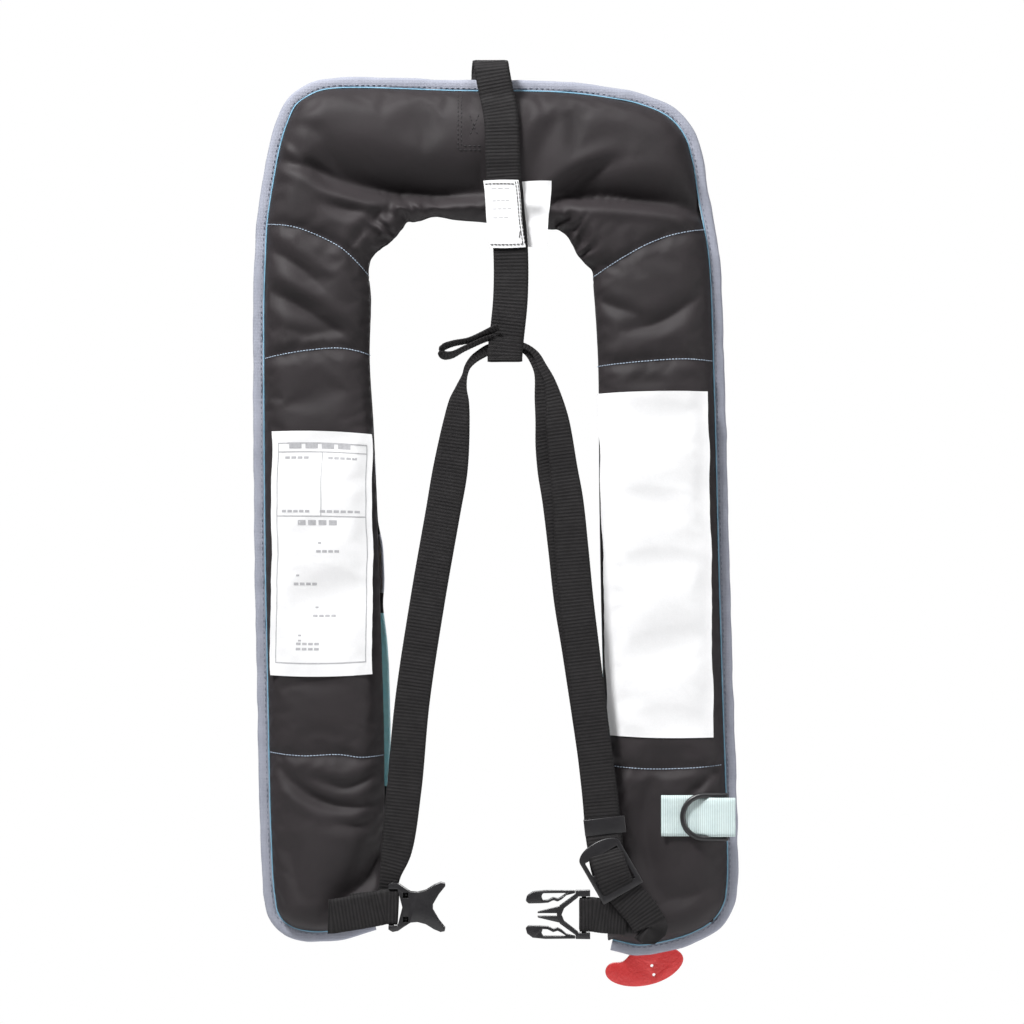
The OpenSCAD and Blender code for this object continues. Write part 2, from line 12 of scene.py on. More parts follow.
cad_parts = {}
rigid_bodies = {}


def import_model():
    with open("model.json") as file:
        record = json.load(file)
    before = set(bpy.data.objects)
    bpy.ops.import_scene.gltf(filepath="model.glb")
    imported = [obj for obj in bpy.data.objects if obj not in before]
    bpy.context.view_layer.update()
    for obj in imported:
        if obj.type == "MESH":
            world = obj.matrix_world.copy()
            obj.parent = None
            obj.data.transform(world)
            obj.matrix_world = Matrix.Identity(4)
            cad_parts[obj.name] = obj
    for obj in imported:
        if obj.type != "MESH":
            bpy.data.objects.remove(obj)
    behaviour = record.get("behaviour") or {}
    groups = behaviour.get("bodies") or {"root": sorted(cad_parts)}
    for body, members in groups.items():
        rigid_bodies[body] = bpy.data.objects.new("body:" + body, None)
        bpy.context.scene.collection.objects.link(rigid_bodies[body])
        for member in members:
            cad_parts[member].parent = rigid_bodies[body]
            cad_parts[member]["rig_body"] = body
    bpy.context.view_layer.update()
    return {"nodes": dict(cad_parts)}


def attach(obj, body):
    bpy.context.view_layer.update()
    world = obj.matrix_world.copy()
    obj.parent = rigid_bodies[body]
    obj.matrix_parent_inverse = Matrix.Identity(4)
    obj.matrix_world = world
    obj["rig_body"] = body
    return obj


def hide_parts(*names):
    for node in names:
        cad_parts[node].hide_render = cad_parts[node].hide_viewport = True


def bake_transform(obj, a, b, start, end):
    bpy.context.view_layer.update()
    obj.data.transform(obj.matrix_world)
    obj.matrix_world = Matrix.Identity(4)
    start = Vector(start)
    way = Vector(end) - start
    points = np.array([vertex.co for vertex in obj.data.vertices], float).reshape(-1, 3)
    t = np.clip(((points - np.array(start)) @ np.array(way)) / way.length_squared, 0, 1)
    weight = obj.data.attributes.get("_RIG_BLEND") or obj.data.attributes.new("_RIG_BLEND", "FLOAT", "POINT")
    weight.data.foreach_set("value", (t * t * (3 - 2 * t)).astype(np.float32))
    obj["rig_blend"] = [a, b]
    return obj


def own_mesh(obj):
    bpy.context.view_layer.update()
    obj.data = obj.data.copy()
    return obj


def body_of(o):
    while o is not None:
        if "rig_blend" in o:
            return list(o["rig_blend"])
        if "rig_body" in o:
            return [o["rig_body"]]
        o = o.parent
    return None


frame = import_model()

MM = 0.001
scene = bpy.context.scene
nodes = frame["nodes"]
rng = np.random.default_rng(11)

# ---------- camera, floor and light ----------

scene.view_settings.view_transform = "Standard"
FRAME_WIDTH = 0.7485
LENS, SENSOR = 120, 36
CENTRE = Vector((0.0161, 0, -0.329))
FLOOR_Z = -0.95


def new_object(name, data):
    thing = bpy.data.objects.new(name, data)
    scene.collection.objects.link(thing)
    return thing


def aim(thing, target):
    thing.rotation_euler = (Vector(target) - thing.location).to_track_quat("-Z", "Y").to_euler()


camera = new_object("camera", bpy.data.cameras.new("camera"))
camera.data.lens = LENS
camera.data.sensor_width = SENSOR
camera.data.clip_end = 20
camera.location = CENTRE + Vector((0, -FRAME_WIDTH * LENS / SENSOR, 0))
aim(camera, CENTRE)
scene.camera = camera


def area_light(name, location, target, size, watts):
    light = bpy.data.lights.new(name, "AREA")
    light.shape = "RECTANGLE"
    light.size, light.size_y = size
    light.energy = watts
    thing = new_object(name, light)
    thing.location = location
    aim(thing, target)


area_light("key", (-0.85, -1.0, 1.3), (0, 0, -0.3), (0.5, 0.4), 74)
area_light("fill", (1.4, -1.5, -0.3), (0, 0, -0.35), (0.8, 1.2), 4)
area_light("top", (0.1, -0.6, 1.2), (0, 0, -0.3), (1.0, 0.4), 9)
area_light("back", (0.2, 1.8, 0.5), (0, 0, -0.3), (1.6, 1.2), 26)
area_light("side", (1.5, -0.42, -0.45), (0, 0, -0.4), (0.3, 1.0), 8)


def new_node(tree, kind, **values):
    node = tree.nodes.new("ShaderNode" + kind)
    for key, value in values.items():
        if hasattr(node, key):
            setattr(node, key, value)
        else:
            node.inputs[key].default_value = value
    return node


# The camera sees a white studio; the jacket gets only a little light from it.
world = bpy.data.worlds.new("studio")
scene.world = world
world.use_nodes = True
tree = world.node_tree
tree.nodes.clear()
path_kind = new_node(tree, "LightPath")
seen = new_node(tree, "Background", Color=(1, 1, 1, 1), Strength=1)
soft = new_node(tree, "Background", Color=(0.97, 0.98, 1, 1), Strength=0.1)
pick = new_node(tree, "MixShader")
out = new_node(tree, "OutputWorld")
tree.links.new(path_kind.outputs["Is Camera Ray"], pick.inputs[0])
tree.links.new(soft.outputs[0], pick.inputs[1])
tree.links.new(seen.outputs[0], pick.inputs[2])
tree.links.new(pick.outputs[0], out.inputs[0])

# ---------- materials ----------


def linear(rgb):
    """An sRGB colour, 0 to 255, as linear values with alpha."""
    return tuple(c / 3294.6 if c <= 10 else ((c / 255 + 0.055) / 1.055) ** 2.4 for c in rgb) + (1,)


def scaled(tree, socket, low, high):
    """A 0 to 1 value mapped to low to high."""
    node = new_node(tree, "MapRange")
    node.inputs["To Min"].default_value = low
    node.inputs["To Max"].default_value = high
    tree.links.new(socket, node.inputs["Value"])
    return node.outputs[0]


def math_node(tree, kind, a, b):
    node = new_node(tree, "Math", operation=kind)
    for i, value in enumerate((a, b)):
        if isinstance(value, (int, float)):
            node.inputs[i].default_value = value
        else:
            tree.links.new(value, node.inputs[i])
    return node.outputs[0]


def noise(tree, coords, scale, detail=3, rough=0.55):
    node = new_node(tree, "TexNoise", Scale=scale, Detail=detail, Roughness=rough)
    tree.links.new(coords, node.inputs["Vector"])
    return node.outputs["Fac"]


def yarns(tree, coords, pitch, direction):
    """Rows of yarn, pitch in metres, across one axis."""
    node = new_node(tree, "TexWave", wave_type="BANDS", bands_direction=direction, wave_profile="SIN")
    node.inputs["Scale"].default_value = math.pi / 10 / pitch
    tree.links.new(coords, node.inputs["Vector"])
    return node.outputs["Fac"]


def shaded(tree, color, value, share):
    """The colour times a grey value, by a share of the effect; the weave and the ribs use it to paint shade in
    their hollows and light on their crests.
    """
    shade = new_node(tree, "Mix", data_type="RGBA", blend_type="MULTIPLY")
    shade.inputs[0].default_value = share
    tree.links.new(color, shade.inputs[6])
    tint = new_node(tree, "CombineColor")
    for i in range(3):
        tree.links.new(value, tint.inputs[i])
    tree.links.new(tint.outputs[0], shade.inputs[7])
    return shade.outputs[2]


def material(name, rgb, rough, rgb2, mottle, grain, grain_depth=0.0001, weave=0, weave_depth=0.00008, axes="XZ",
             uv=False, wear=None, rib=0, painted_groove_shade=0.45, vary=0.09, **fixed):
    """A material with colour mottled from rgb to rgb2, woven and grained relief and varied roughness.
    fixed holds the shader's constant sockets. wear is a lighter colour that patches of rubbing show."""
    made = bpy.data.materials.new(name)
    made.use_nodes = True
    tree = made.node_tree
    shader = tree.nodes["Principled BSDF"]
    for key, value in fixed.items():
        shader.inputs[key.replace("_", " ")].default_value = value
    place = new_node(tree, "TexCoord")
    coords = place.outputs["UV" if uv else "Object"]
    solid = place.outputs["Object"]
    patch = noise(tree, solid, mottle, 4)
    mix = new_node(tree, "Mix", data_type="RGBA")
    mix.inputs[6].default_value = linear(rgb)
    mix.inputs[7].default_value = linear(rgb2)
    tree.links.new(scaled(tree, patch, -0.5, 1.5), mix.inputs[0])
    color = mix.outputs[2]
    relief = None
    if weave:
        across = yarns(tree, coords, weave, axes[0])
        along = yarns(tree, coords, weave, axes[1])
        relief = math_node(tree, "MULTIPLY", across, along)
        relief = math_node(tree, "ADD", relief, math_node(tree, "MULTIPLY", noise(tree, solid, 900, 2), 0.5))
        # Partly painted shade: the colour is darkened in the hollows of the weave's bump and lightened on its
        # crests; the added fine noise is random tone.
        color = shaded(tree, color, scaled(tree, relief, 0.55, 1.15), 0.25)
    if rib:
        # Painted shade and light: bands darken the colour in the grooves between the webbing's ribs and lighten it
        # on their crests, in step with the ribs of the webbing's mesh.
        color = shaded(tree, color, scaled(tree, yarns(tree, coords, rib, "Y"), painted_groove_shade, 1.2), 1)
    if wear:
        rub = new_node(tree, "Mix", data_type="RGBA")
        rub.inputs[7].default_value = linear(wear)
        tree.links.new(color, rub.inputs[6])
        spots = scaled(tree, noise(tree, solid, 210, 6, rough=0.75), -1.6, 1.1)
        tree.links.new(math_node(tree, "MAXIMUM", spots, 0), rub.inputs[0])
        color = rub.outputs[2]
    tree.links.new(color, shader.inputs["Base Color"])
    roughness = scaled(tree, noise(tree, solid, 140, 3), rough - vary, rough + vary)
    tree.links.new(roughness, shader.inputs["Roughness"])
    normal = None
    grains = noise(tree, solid, grain, 5) if grain else None
    for height, depth in ((relief, weave_depth), (grains, grain_depth)):
        if height is None:
            continue
        bump = new_node(tree, "Bump", Strength=0.8, Distance=depth)
        tree.links.new(height, bump.inputs["Height"])
        if normal:
            tree.links.new(normal, bump.inputs["Normal"])
        normal = bump.outputs[0]
    tree.links.new(normal, shader.inputs["Normal"])
    return made


FRONT = dict(weave=0.0006, grain_depth=0.0002, Sheen_Weight=0.1)
MOULDED = dict(grain=420, grain_depth=0.00006)
M = {
    "cloth": material("black_oxford_cloth", (41, 37.5, 39), 0.6, (47.5, 43, 45), 30, 260, 0.00007, 0.0006,
                      vary=0.03, Sheen_Weight=0.02, Sheen_Roughness=0.4, Specular_IOR_Level=0.22),
    "black": material("black_front_cloth", (32, 31, 33), 0.55, (44, 42, 45), 50, 240, **FRONT),
    "teal": material("teal_front_cloth", (158, 204, 214), 0.6, (176, 218, 226), 50, 240, **FRONT,
                     Subsurface_Weight=0.7, Subsurface_Scale=0.004, Subsurface_Radius=(1, 1, 1)),
    "lavender": material("grey_front_cloth", (158, 162, 176), 0.6, (176, 180, 192), 50, 240, **FRONT),
    "binding": material("grey_binding_tape", (139, 142, 155), 0.75, (153, 156, 169), 90, 500, 0.0001, 0.0011,
                        0.00022, Sheen_Weight=0.08),
    "blue_edge": material("pale_blue_thread", (104, 152, 178), 0.6, (128, 174, 198), 300, 1500,
                          Sheen_Weight=0.2),
    "dark_thread": material("dark_thread", (92, 96, 110), 0.6, (108, 112, 124), 300, 1500),
    "pale_thread": material("pale_grey_thread", (140, 156, 176), 0.6, (176, 190, 206), 300, 1500),
    "black_thread": material("black_thread", (20, 19, 21), 0.6, (36, 34, 36), 300, 1500),
    "label": material("white_label_film", (226, 226, 227), 0.55, (233, 233, 234), 35, 150, 0.0002, 0.0004,
                      0.00003, Coat_Weight=0.05),
    "ink": material("grey_label_ink", (156, 156, 159), 0.6, (180, 180, 183), 500, 900),
    "webbing": material("black_polyester_webbing", (26, 24, 25), 0.62, (36, 34, 35), 120, 900, 0.00008, 0.00085,
                        0.00022, "XY", uv=True, wear=(44, 41, 42), rib=0.0025, Sheen_Weight=0.02,
                        Specular_IOR_Level=0.2),
    "pale_webbing": material("pale_teal_webbing", (190, 207, 207), 0.65, (204, 219, 218), 120, 900, 0.0001,
                             0.00085, 0.0002, "XY", uv=True, rib=0.0016, painted_groove_shade=0.88, Sheen_Weight=0.1),
    "plastic": material("black_acetal", (30, 29, 31), 0.36, (38, 37, 39), 90, **MOULDED, wear=(56, 54, 56),
                        Specular_IOR_Level=0.5),
    "grey_plastic": material("grey_nylon", (88, 90, 94), 0.45, (102, 104, 108), 90, **MOULDED,
                             wear=(130, 130, 132)),
    "red": material("pebbled_red_plastic", (222, 56, 58), 0.42, (232, 74, 74), 90, 520, 0.0007,
                    wear=(238, 112, 108), Specular_IOR_Level=0.5, Subsurface_Weight=0.03),
    "orange": material("orange_plastic", (224, 108, 30), 0.4, (234, 124, 44), 90, **MOULDED,
                       wear=(240, 160, 90)),
    "painted": material("green_painted_steel", (52, 92, 66), 0.38, (58, 100, 72), 60, 500, 0.00008,
                        wear=(110, 124, 112), Coat_Weight=0.3),
    "steel": material("bright_steel", (178, 180, 184), 0.3, (196, 198, 200), 160, 700, 0.00005, Metallic=1.0),
    "rubber": material("seal_rubber", (34, 33, 33), 0.7, (44, 43, 42), 200, 700),
    "bladder": material("coated_yellow_bladder", (226, 196, 36), 0.42, (236, 208, 56), 45, 200, 0.0002, 0.0005,
                        0.00005, Coat_Weight=0.15),
    "silver": material("silver_reflective_tape", (188, 190, 192), 0.34, (206, 208, 210), 200, 0, 0.0001, 0.0012,
                       0.0001, Metallic=0.7),
    "hook": material("hook_and_loop_tape", (28, 28, 30), 0.9, (46, 46, 48), 400, 1300, 0.0008, Sheen_Weight=0.3),
    "red_cord": material("red_braided_cord", (186, 36, 40), 0.6, (210, 70, 70), 400, 1400, 0.0003),
    "floor": material("pale_floor", (236, 236, 236), 0.8, (240, 240, 240), 8, 60, 0.0002),
}

# ---------- mesh helpers ----------


def add_mesh(name, verts, faces, mats, face_mats=None, uvs=None):
    """A new mesh object. verts are in millimetres, as a list or grid of points."""
    mesh = bpy.data.meshes.new(name)
    mesh.from_pydata((np.asarray(verts, float).reshape(-1, 3) * MM).tolist(), [], faces)
    mesh.validate()
    for m in mats if isinstance(mats, (list, tuple)) else [mats]:
        mesh.materials.append(M[m])
    mesh.shade_smooth()
    if face_mats is not None:
        mesh.polygons.foreach_set("material_index", np.asarray(face_mats, np.int32))
    if uvs is not None:
        layer = mesh.uv_layers.new(name="UVMap")
        index = np.zeros(len(mesh.loops), np.int32)
        mesh.loops.foreach_get("vertex_index", index)
        layer.data.foreach_set("uv", np.asarray(uvs, np.float32)[index].ravel())
    mesh.update()
    return new_object(name, mesh)


def bake_modifiers(thing):
    """Replaces the mesh with what its modifiers make of it."""
    bpy.context.view_layer.update()
    mesh = bpy.data.meshes.new_from_object(thing.evaluated_get(bpy.context.evaluated_depsgraph_get()))
    thing.modifiers.clear()
    thing.data = mesh


def face_towards(thing, direction):
    """Flips the mesh where most of its area faces away from a direction."""
    total = sum((p.normal * p.area for p in thing.data.polygons), Vector())
    if total.dot(Vector(direction)) < 0:
        thing.data.flip_normals()
        thing.data.update()


def thicken(thing, thickness):
    """Makes a surface into cloth of a thickness in millimetres, behind it."""
    shell = thing.modifiers.new("cloth_thickness", "SOLIDIFY")
    shell.thickness = thickness * MM
    shell.offset = -1
    bake_modifiers(thing)


def belongs(thing, slot=None, *replaced, body="jacket"):
    """The body that a piece rides on, its slot, which is not used, and the CAD nodes that it stands for."""
    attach(thing, body)
    if replaced:
        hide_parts(*replaced)


def curve_through(points, step=1.0):
    """A smooth curve through points, with one sample about every step."""
    p = np.array(points, float)
    p = np.vstack([2 * p[0] - p[1], p, 2 * p[-1] - p[-2]])
    out = []
    for a, b, c, d in zip(p, p[1:], p[2:], p[3:]):
        ab, bc, cd = (np.linalg.norm(v) ** 0.5 for v in (b - a, c - b, d - c))
        start = ((b - a) / ab - (c - a) / (ab + bc) + (c - b) / bc) * bc
        stop = ((c - b) / bc - (d - b) / (bc + cd) + (d - c) / cd) * bc
        t = np.linspace(0, 1, max(2, int(bc * bc / step) + 1), endpoint=False)[:, None]
        out.append((2 * t**3 - 3 * t**2 + 1) * b + (t**3 - 2 * t**2 + t) * start
                   + (3 * t**2 - 2 * t**3) * c + (t**3 - t**2) * stop)
    return np.vstack(out + [p[-2:-1]])


def lengths(path):
    return np.concatenate([[0], np.cumsum(np.linalg.norm(np.diff(path, axis=0), axis=1))])


def at(path, s):
    """Points at arc lengths s along a path."""
    along = lengths(path)
    return np.stack([np.interp(s, along, path[:, i]) for i in range(path.shape[1])], axis=1)


def even(path, step):
    total = lengths(path)[-1]
    return at(path, np.linspace(0, total, max(2, int(round(total / step)) + 1)))


def tangents(path):
    t = np.gradient(path, axis=0)
    return t / np.maximum(np.linalg.norm(t, axis=1, keepdims=True), 1e-9)


def inset(path, by):
    """A path in x and z moved to its right, which is inwards for the jacket's edge."""
    t = tangents(path)
    return path + by * np.stack([t[:, 1], -t[:, 0]], axis=1)


def nearest(path, point):
    """Arc length along path nearest to a point."""
    return lengths(path)[np.argmin(np.linalg.norm(path - np.array(point), axis=1))]


def distance_to(path, x, z):
    """Distance of points from a path, how far along it they are, and whether they lie on its left side."""
    path = even(np.array(path, float), 1.5)
    best = np.full(x.shape, 1e9)
    nearby = np.zeros(x.shape, int)
    for i in range(len(path)):
        d = np.hypot(x - path[i, 0], z - path[i, 1])
        closer = d < best
        best[closer] = d[closer]
        nearby[closer] = i
    t = tangents(path)[nearby]
    left = t[..., 0] * (z - path[nearby, 1]) > t[..., 1] * (x - path[nearby, 0])
    return best, lengths(path)[nearby], left


def wobble(x, z, size, seed, octaves=4):
    """Smooth noise of about unit height, with features about size across."""
    r = np.random.default_rng(seed)
    total = np.zeros(np.shape(x))
    for k in range(octaves):
        scale = 2 * math.pi / size * 1.7**k
        for _ in range(5):
            angle, phase = r.uniform(0, 2 * math.pi, 2)
            total = total + np.sin(scale * (np.cos(angle) * x + np.sin(angle) * z) + phase) * 0.6**k / 2.4
    return total


def grid_faces(rows, cols, wrap=False):
    """Quads of a grid of rows by cols vertices; wrap joins the last column to the first."""
    r, c = np.meshgrid(np.arange(rows - 1), np.arange(cols if wrap else cols - 1), indexing="ij")
    a = r * cols + c
    b = r * cols + (c + 1) % cols
    return np.stack([a, b, b + cols, a + cols], axis=-1).reshape(-1, 4).tolist()


def closed_faces(rows, cols):
    """Quads round a tube of rings, with a face at both ends."""
    ends = [list(range(cols))[::-1], [(rows - 1) * cols + i for i in range(cols)]]
    return grid_faces(rows, cols, wrap=True) + ends


# ---------- the jacket's outline, as x and z ----------

LEFT_EDGE = [(-92, -637), (-110, -642), (-132, -643), (-150, -638), (-161, -627), (-165, -610), (-168, -560),
             (-170, -466), (-172, -364), (-173, -250), (-173, -174), (-172, -145)]
COLLAR_EDGE = [(-170.5, -116), (-166, -86), (-161, -60), (-155.5, -42), (-148, -27), (-137, -18.5), (-121, -12.5),
               (-20, -13.5), (52, -14.5), (87, -18.5), (110, -23), (135, -34), (149, -50), (156, -72), (160, -97),
               (164, -118)]
RIGHT_EDGE = [(168, -145), (172, -247), (175, -364), (178, -466), (181, -560), (181, -600), (178, -618),
              (168, -633), (152, -643), (130, -650), (108, -653), (88, -649)]
INNER = [(-81.5, -628), (-77, -540), (-80, -393), (-85, -269), (-88, -216), (-87, -173), (-88.5, -150), (-85, -141),
         (-71, -130), (-63.5, -121), (-60, -116.5), (-55, -117), (-40, -113), (-28, -115), (-7, -117), (20, -120),
         (42, -122), (51, -123), (58, -129.5), (63, -139), (69, -147), (74.5, -152), (75.5, -162), (79, -218),
         (80, -320), (83, -466), (86, -540), (86, -642)]
# Points that face each other across the pack, outer edge first.
ACROSS = [((-161, -627), (-81, -628)), ((-170, -466), (-78, -466)), ((-173, -250), (-87, -250)),
          ((-172, -145), (-87, -165)), ((-168, -86), (-80, -137)), ((-137, -15), (-61, -117)),
          ((-60, -12), (-40, -113)), ((0, -16), (0, -118)), ((60, -18), (40, -122)), ((132, -35), (56, -127)),
          ((160, -97), (67, -144)), ((168, -145), (76, -168)), ((175, -300), (80, -300)),
          ((178, -466), (83, -466)), ((168, -633), (86, -642))]
ROUNDING = 1.8
edge = curve_through(LEFT_EDGE + COLLAR_EDGE + RIGHT_EDGE, 2)

SEAMS = [
    [(-164, -119), (-139, -123), (-110, -136), (-98, -146), (-88, -157)],
    [(162, -122), (132, -128), (118, -133), (104, -140), (89, -149), (75, -158)],
    [(-164, -217), (-135, -212), (-110, -210), (-96, -212), (-86, -215)],
    [(78, -223), (108, -220), (139, -218), (164, -219)],
    [(-162, -504), (-135, -506), (-110, -505), (-94, -507), (-77, -506)],
    [(84, -513), (100, -514.5), (118, -515.5), (140, -515), (170, -513)],
]


def pack_grid(step_u, step_v, border, across=ACROSS):
    """The pack's plan as a grid: x and z arrays, and v, from 0 at the outer edge to 1 at the inner edge.
    Each row crosses the horseshoe. border is how far inside the outer edge it starts."""
    outer = inset(edge, border)
    inner = curve_through(INNER, 2)
    first, last = nearest(outer, across[0][0]), nearest(outer, across[-1][0])
    s_out = [nearest(outer, a) for a, _ in across]
    s_in = [nearest(inner, b) for _, b in across]
    s_in[0], s_in[-1] = 0, lengths(inner)[-1]
    count = int((last - first) / step_u)
    u = np.linspace(0, len(across) - 1, 1200)
    keys = np.arange(len(across))
    kernel = np.hanning(91)
    kernel /= kernel.sum()

    def soften(values):
        dense = np.interp(u, keys, values)
        padded = np.concatenate([2 * dense[0] - dense[45:0:-1], dense, 2 * dense[-1] - dense[-2:-47:-1]])
        return np.convolve(padded, kernel, "valid")

    so, si = soften(s_out), soften(s_in)
    middle = (so - so[0]) * 0.5 + (si - si[0]) * 0.5
    pick = np.interp(np.linspace(0, middle[-1], count), middle, u)
    so, si = np.interp(pick, u, so), np.interp(pick, u, si)
    a, b = at(outer, so), at(inner, si)
    rows = int(90 / step_v)
    t = np.linspace(0, 1, rows)
    v = (t - 0.07 * np.sin(2 * math.pi * t))[None, :, None]
    grid = a[:, None] * (1 - v) + b[:, None] * v
    run = np.linspace(0, middle[-1], count)
    for end, where, lo, hi in ((0, run, 0, first), (-1, middle[-1] - run, last, lengths(outer)[-1])):
        bottom = at(outer, np.linspace(hi, lo, 60) if end == 0 else np.linspace(lo, hi, 60))
        bottom = np.vstack([bottom, b[end][None]])
        curve = at(bottom, v[0, :, 0] * lengths(bottom)[-1])
        pull = np.clip(1 - where / 75, 0, 1)[:, None, None] ** 2
        grid = grid + (curve - grid[end])[None] * pull
    return grid[..., 0], grid[..., 1], v[0, :, 0]


def plan_border(x, z):
    """Distance of every grid point from the grid's own border."""
    rim = np.concatenate([
        np.stack([x[:, 0], z[:, 0]], 1), np.stack([x[-1], z[-1]], 1),
        np.stack([x[::-1, -1], z[::-1, -1]], 1), np.stack([x[0, ::-1], z[0, ::-1]], 1)])
    return distance_to(rim, x, z)[0]


def crown(d, radius):
    """How high a padded edge stands, from 0 at the border to 1 at radius inside it."""
    return (1 - (1 - np.clip(d / radius, 0, 1)) ** ROUNDING) ** (1 / ROUNDING)


def apply_cloth(thing, pinned, growth, pressure, frames, cap):
    """Runs Cloth with the pinned vertices held, and keeps each vertex within cap millimetres of its start."""
    start = np.array([v.co for v in thing.data.vertices])
    group = thing.vertex_groups.new(name="held")
    for i, weight in enumerate(pinned):
        group.add([i], float(weight), "REPLACE")
    cloth = thing.modifiers.new("cloth", "CLOTH")
    s = cloth.settings
    s.quality = 6
    s.mass = 0.25
    s.tension_stiffness = s.compression_stiffness = s.shear_stiffness = 14
    s.bending_stiffness = 1.2
    s.air_damping = 2
    s.vertex_group_mass = "held"
    s.shrink_min = -growth
    s.use_pressure = True
    s.uniform_pressure_force = pressure
    s.effector_weights.gravity = 0
    cloth.collision_settings.use_collision = False
    cloth.point_cache.frame_start, cloth.point_cache.frame_end = 1, frames
    for f in range(1, frames + 1):
        scene.frame_set(f)
    bake_modifiers(thing)
    scene.frame_set(1)
    moved = np.array([v.co for v in thing.data.vertices]) - start
    far = np.linalg.norm(moved, axis=1, keepdims=True) / (cap * MM)
    moved *= np.tanh(far) / np.maximum(far, 1e-6)
    thing.data.vertices.foreach_set("co", (start + moved).ravel())
    thing.vertex_groups.clear()


def crease(x, z, y, path, depth, width, left_width=None, lip=0.18):
    """Presses a fold into y along a path: a valley, with a raised lip on both sides.
    The valley's left side may have its own width."""
    path = curve_through(path, 3)
    d, s, left = distance_to(path, x, z)
    total = lengths(path)[-1]
    width = np.where(left, left_width or width, width)
    fade = np.sin(math.pi * np.clip(s / total, 0.03, 0.97)) ** 0.6
    shape = np.exp(-((d / width) ** 1.2)) - lip * np.exp(-(((d - 2 * width) / width) ** 2))
    return y + depth * fade * shape


# ---------- the padded pack ----------

HALF_DEPTH = 21.5
# The y of the covers' edges, and how much deeper than BACK_FOLDS the cloth and the bladder are folded.
BACK_BASE, FRONT_BASE = -2.4, 0.9
CLOTH_FOLD, BLADDER_FOLD = 1.15, 1.3
FLAP_TOP = -160


def padded_surface(x, z, v, side, base, height, seed):
    """Y of the padded cover on one side; side is -1 for the wearer's side."""
    d = plan_border(x, z)
    y = height * crown(d, 21)
    run = lengths(np.stack([x[:, -1], z[:, -1]], 1))[:, None] + 0 * x
    # Gathers along the inner edge, strongest at the neck's corners.
    for corner, strength in (((-76, -130), 2.8), ((64, -139), 2.8), ((-60, -114), 2.0), ((50, -122), 2.2)):
        near = np.hypot(x - corner[0], z - corner[1])
        y += strength * np.exp(-((near / 13) ** 2)) * np.sin(run / 1.6 + 2.2 * wobble(x, z, 40, seed + 5))
    inner = 1 - v[None, :]
    y += 0.6 * np.exp(-((inner / 0.12) ** 2)) * np.sin(run / 2.6 + 2.6 * wobble(x, z, 60, seed + 1))
    y += 0.55 * np.exp(-((v[None, :] / 0.14) ** 2)) * np.sin(run / 3.0 + 3 * wobble(x, z, 80, seed + 2))
    for line in SEAMS:
        away, along, _ = distance_to(curve_through(line, 3), x, z)
        y -= 3.4 * np.exp(-((away / 4.2) ** 2)) * crown(d, 14)
        y += 0.7 * np.exp(-((away / 9) ** 2)) * np.sin(along / 2.6 + 3 * wobble(x, z, 60, seed + 3)) * crown(d, 14)
    y += 0.8 * wobble(x, z, 150, seed, 3) * crown(d, 25)
    return base + side * np.maximum(y, 0)


# Folds of the cloth, as paths in x and z, with depth, half width, and the left side's own where it differs.
BACK_FOLDS = [
    ([(-138, -70), (-117, -85), (-101, -91), (-74, -97), (-50, -99), (-4, -98), (24, -98)], 16.5, 5.0, 18),
    ([(-159, -68), (-144, -76), (-132, -80), (-116, -91)], 6.0, 4.2),
    ([(-124, -90), (-101, -97), (-74, -104)], 4.2, 3.4),
    ([(-120, -106), (-97, -110), (-78, -109)], 4.6, 5.0),
    ([(-102, -137), (-90, -122), (-78, -110), (-62, -99)], 6.0, 3.6),
    ([(-90, -136), (-83, -123), (-76, -112)], 4.0, 2.6),
    ([(-76, -122), (-73, -112), (-70, -103)], 3.0, 2.4),
    ([(-150, -29), (-140, -37), (-128, -36)], 2.2, 4.0),
    ([(-146, -46), (-132, -50), (-118, -58)], 2.0, 4.5),
    ([(42, -105), (60, -91), (76, -81), (98, -73)], 7.0, 13, 5.0),
    ([(36, -101), (60, -101), (74, -101), (103, -103), (123, -105), (142, -109), (155, -115)], 15.5, 4.2, 12),
    ([(136, -100), (147, -107), (154, -117)], 3.0, 3.5),
    ([(54, -112), (62, -122), (70, -138)], 4.0, 3.0),
    ([(47, -114), (53, -120), (57, -127)], 3.0, 2.2),
    ([(60, -118), (68, -126), (75, -142)], 3.0, 2.6),
    ([(-163, -136), (-140, -150), (-118, -170)], 5.0, 6.0),
    ([(-162, -166), (-132, -184), (-98, -206)], 6.0, 6.0),
    ([(-150, -196), (-128, -200), (-104, -196)], 2.4, 5.0),
    ([(74, -170), (88, -179), (108, -186)], 3.4, 4.5),
    ([(152, -172), (124, -190), (92, -200)], 4.4, 6.0),
    ([(-156, -511), (-138, -529), (-122, -539), (-98, -543), (-76, -537)], 7.0, 4.8, 7.0),
    ([(-134, -519), (-104, -528), (-78, -516)], 5.6, 4.2),
    ([(-118, -553), (-96, -556), (-80, -548)], 4.2, 4.6),
    ([(-72, -548), (-83, -580), (-94, -600), (-116, -618)], 13.0, 14.0, 7.0),
    ([(-148, -548), (-143, -588), (-131, -622)], 2.8, 8.0),
    ([(166, -514), (156, -524), (146, -535)], 4.6, 3.6),
    ([(118, -518), (112, -560), (122, -612)], 5.0, 9.0),
    ([(172, -594), (148, -606), (122, -612)], 2.4, 7.0),
    ([(142, -566), (136, -590), (140, -618)], 2.0, 7.0),
]

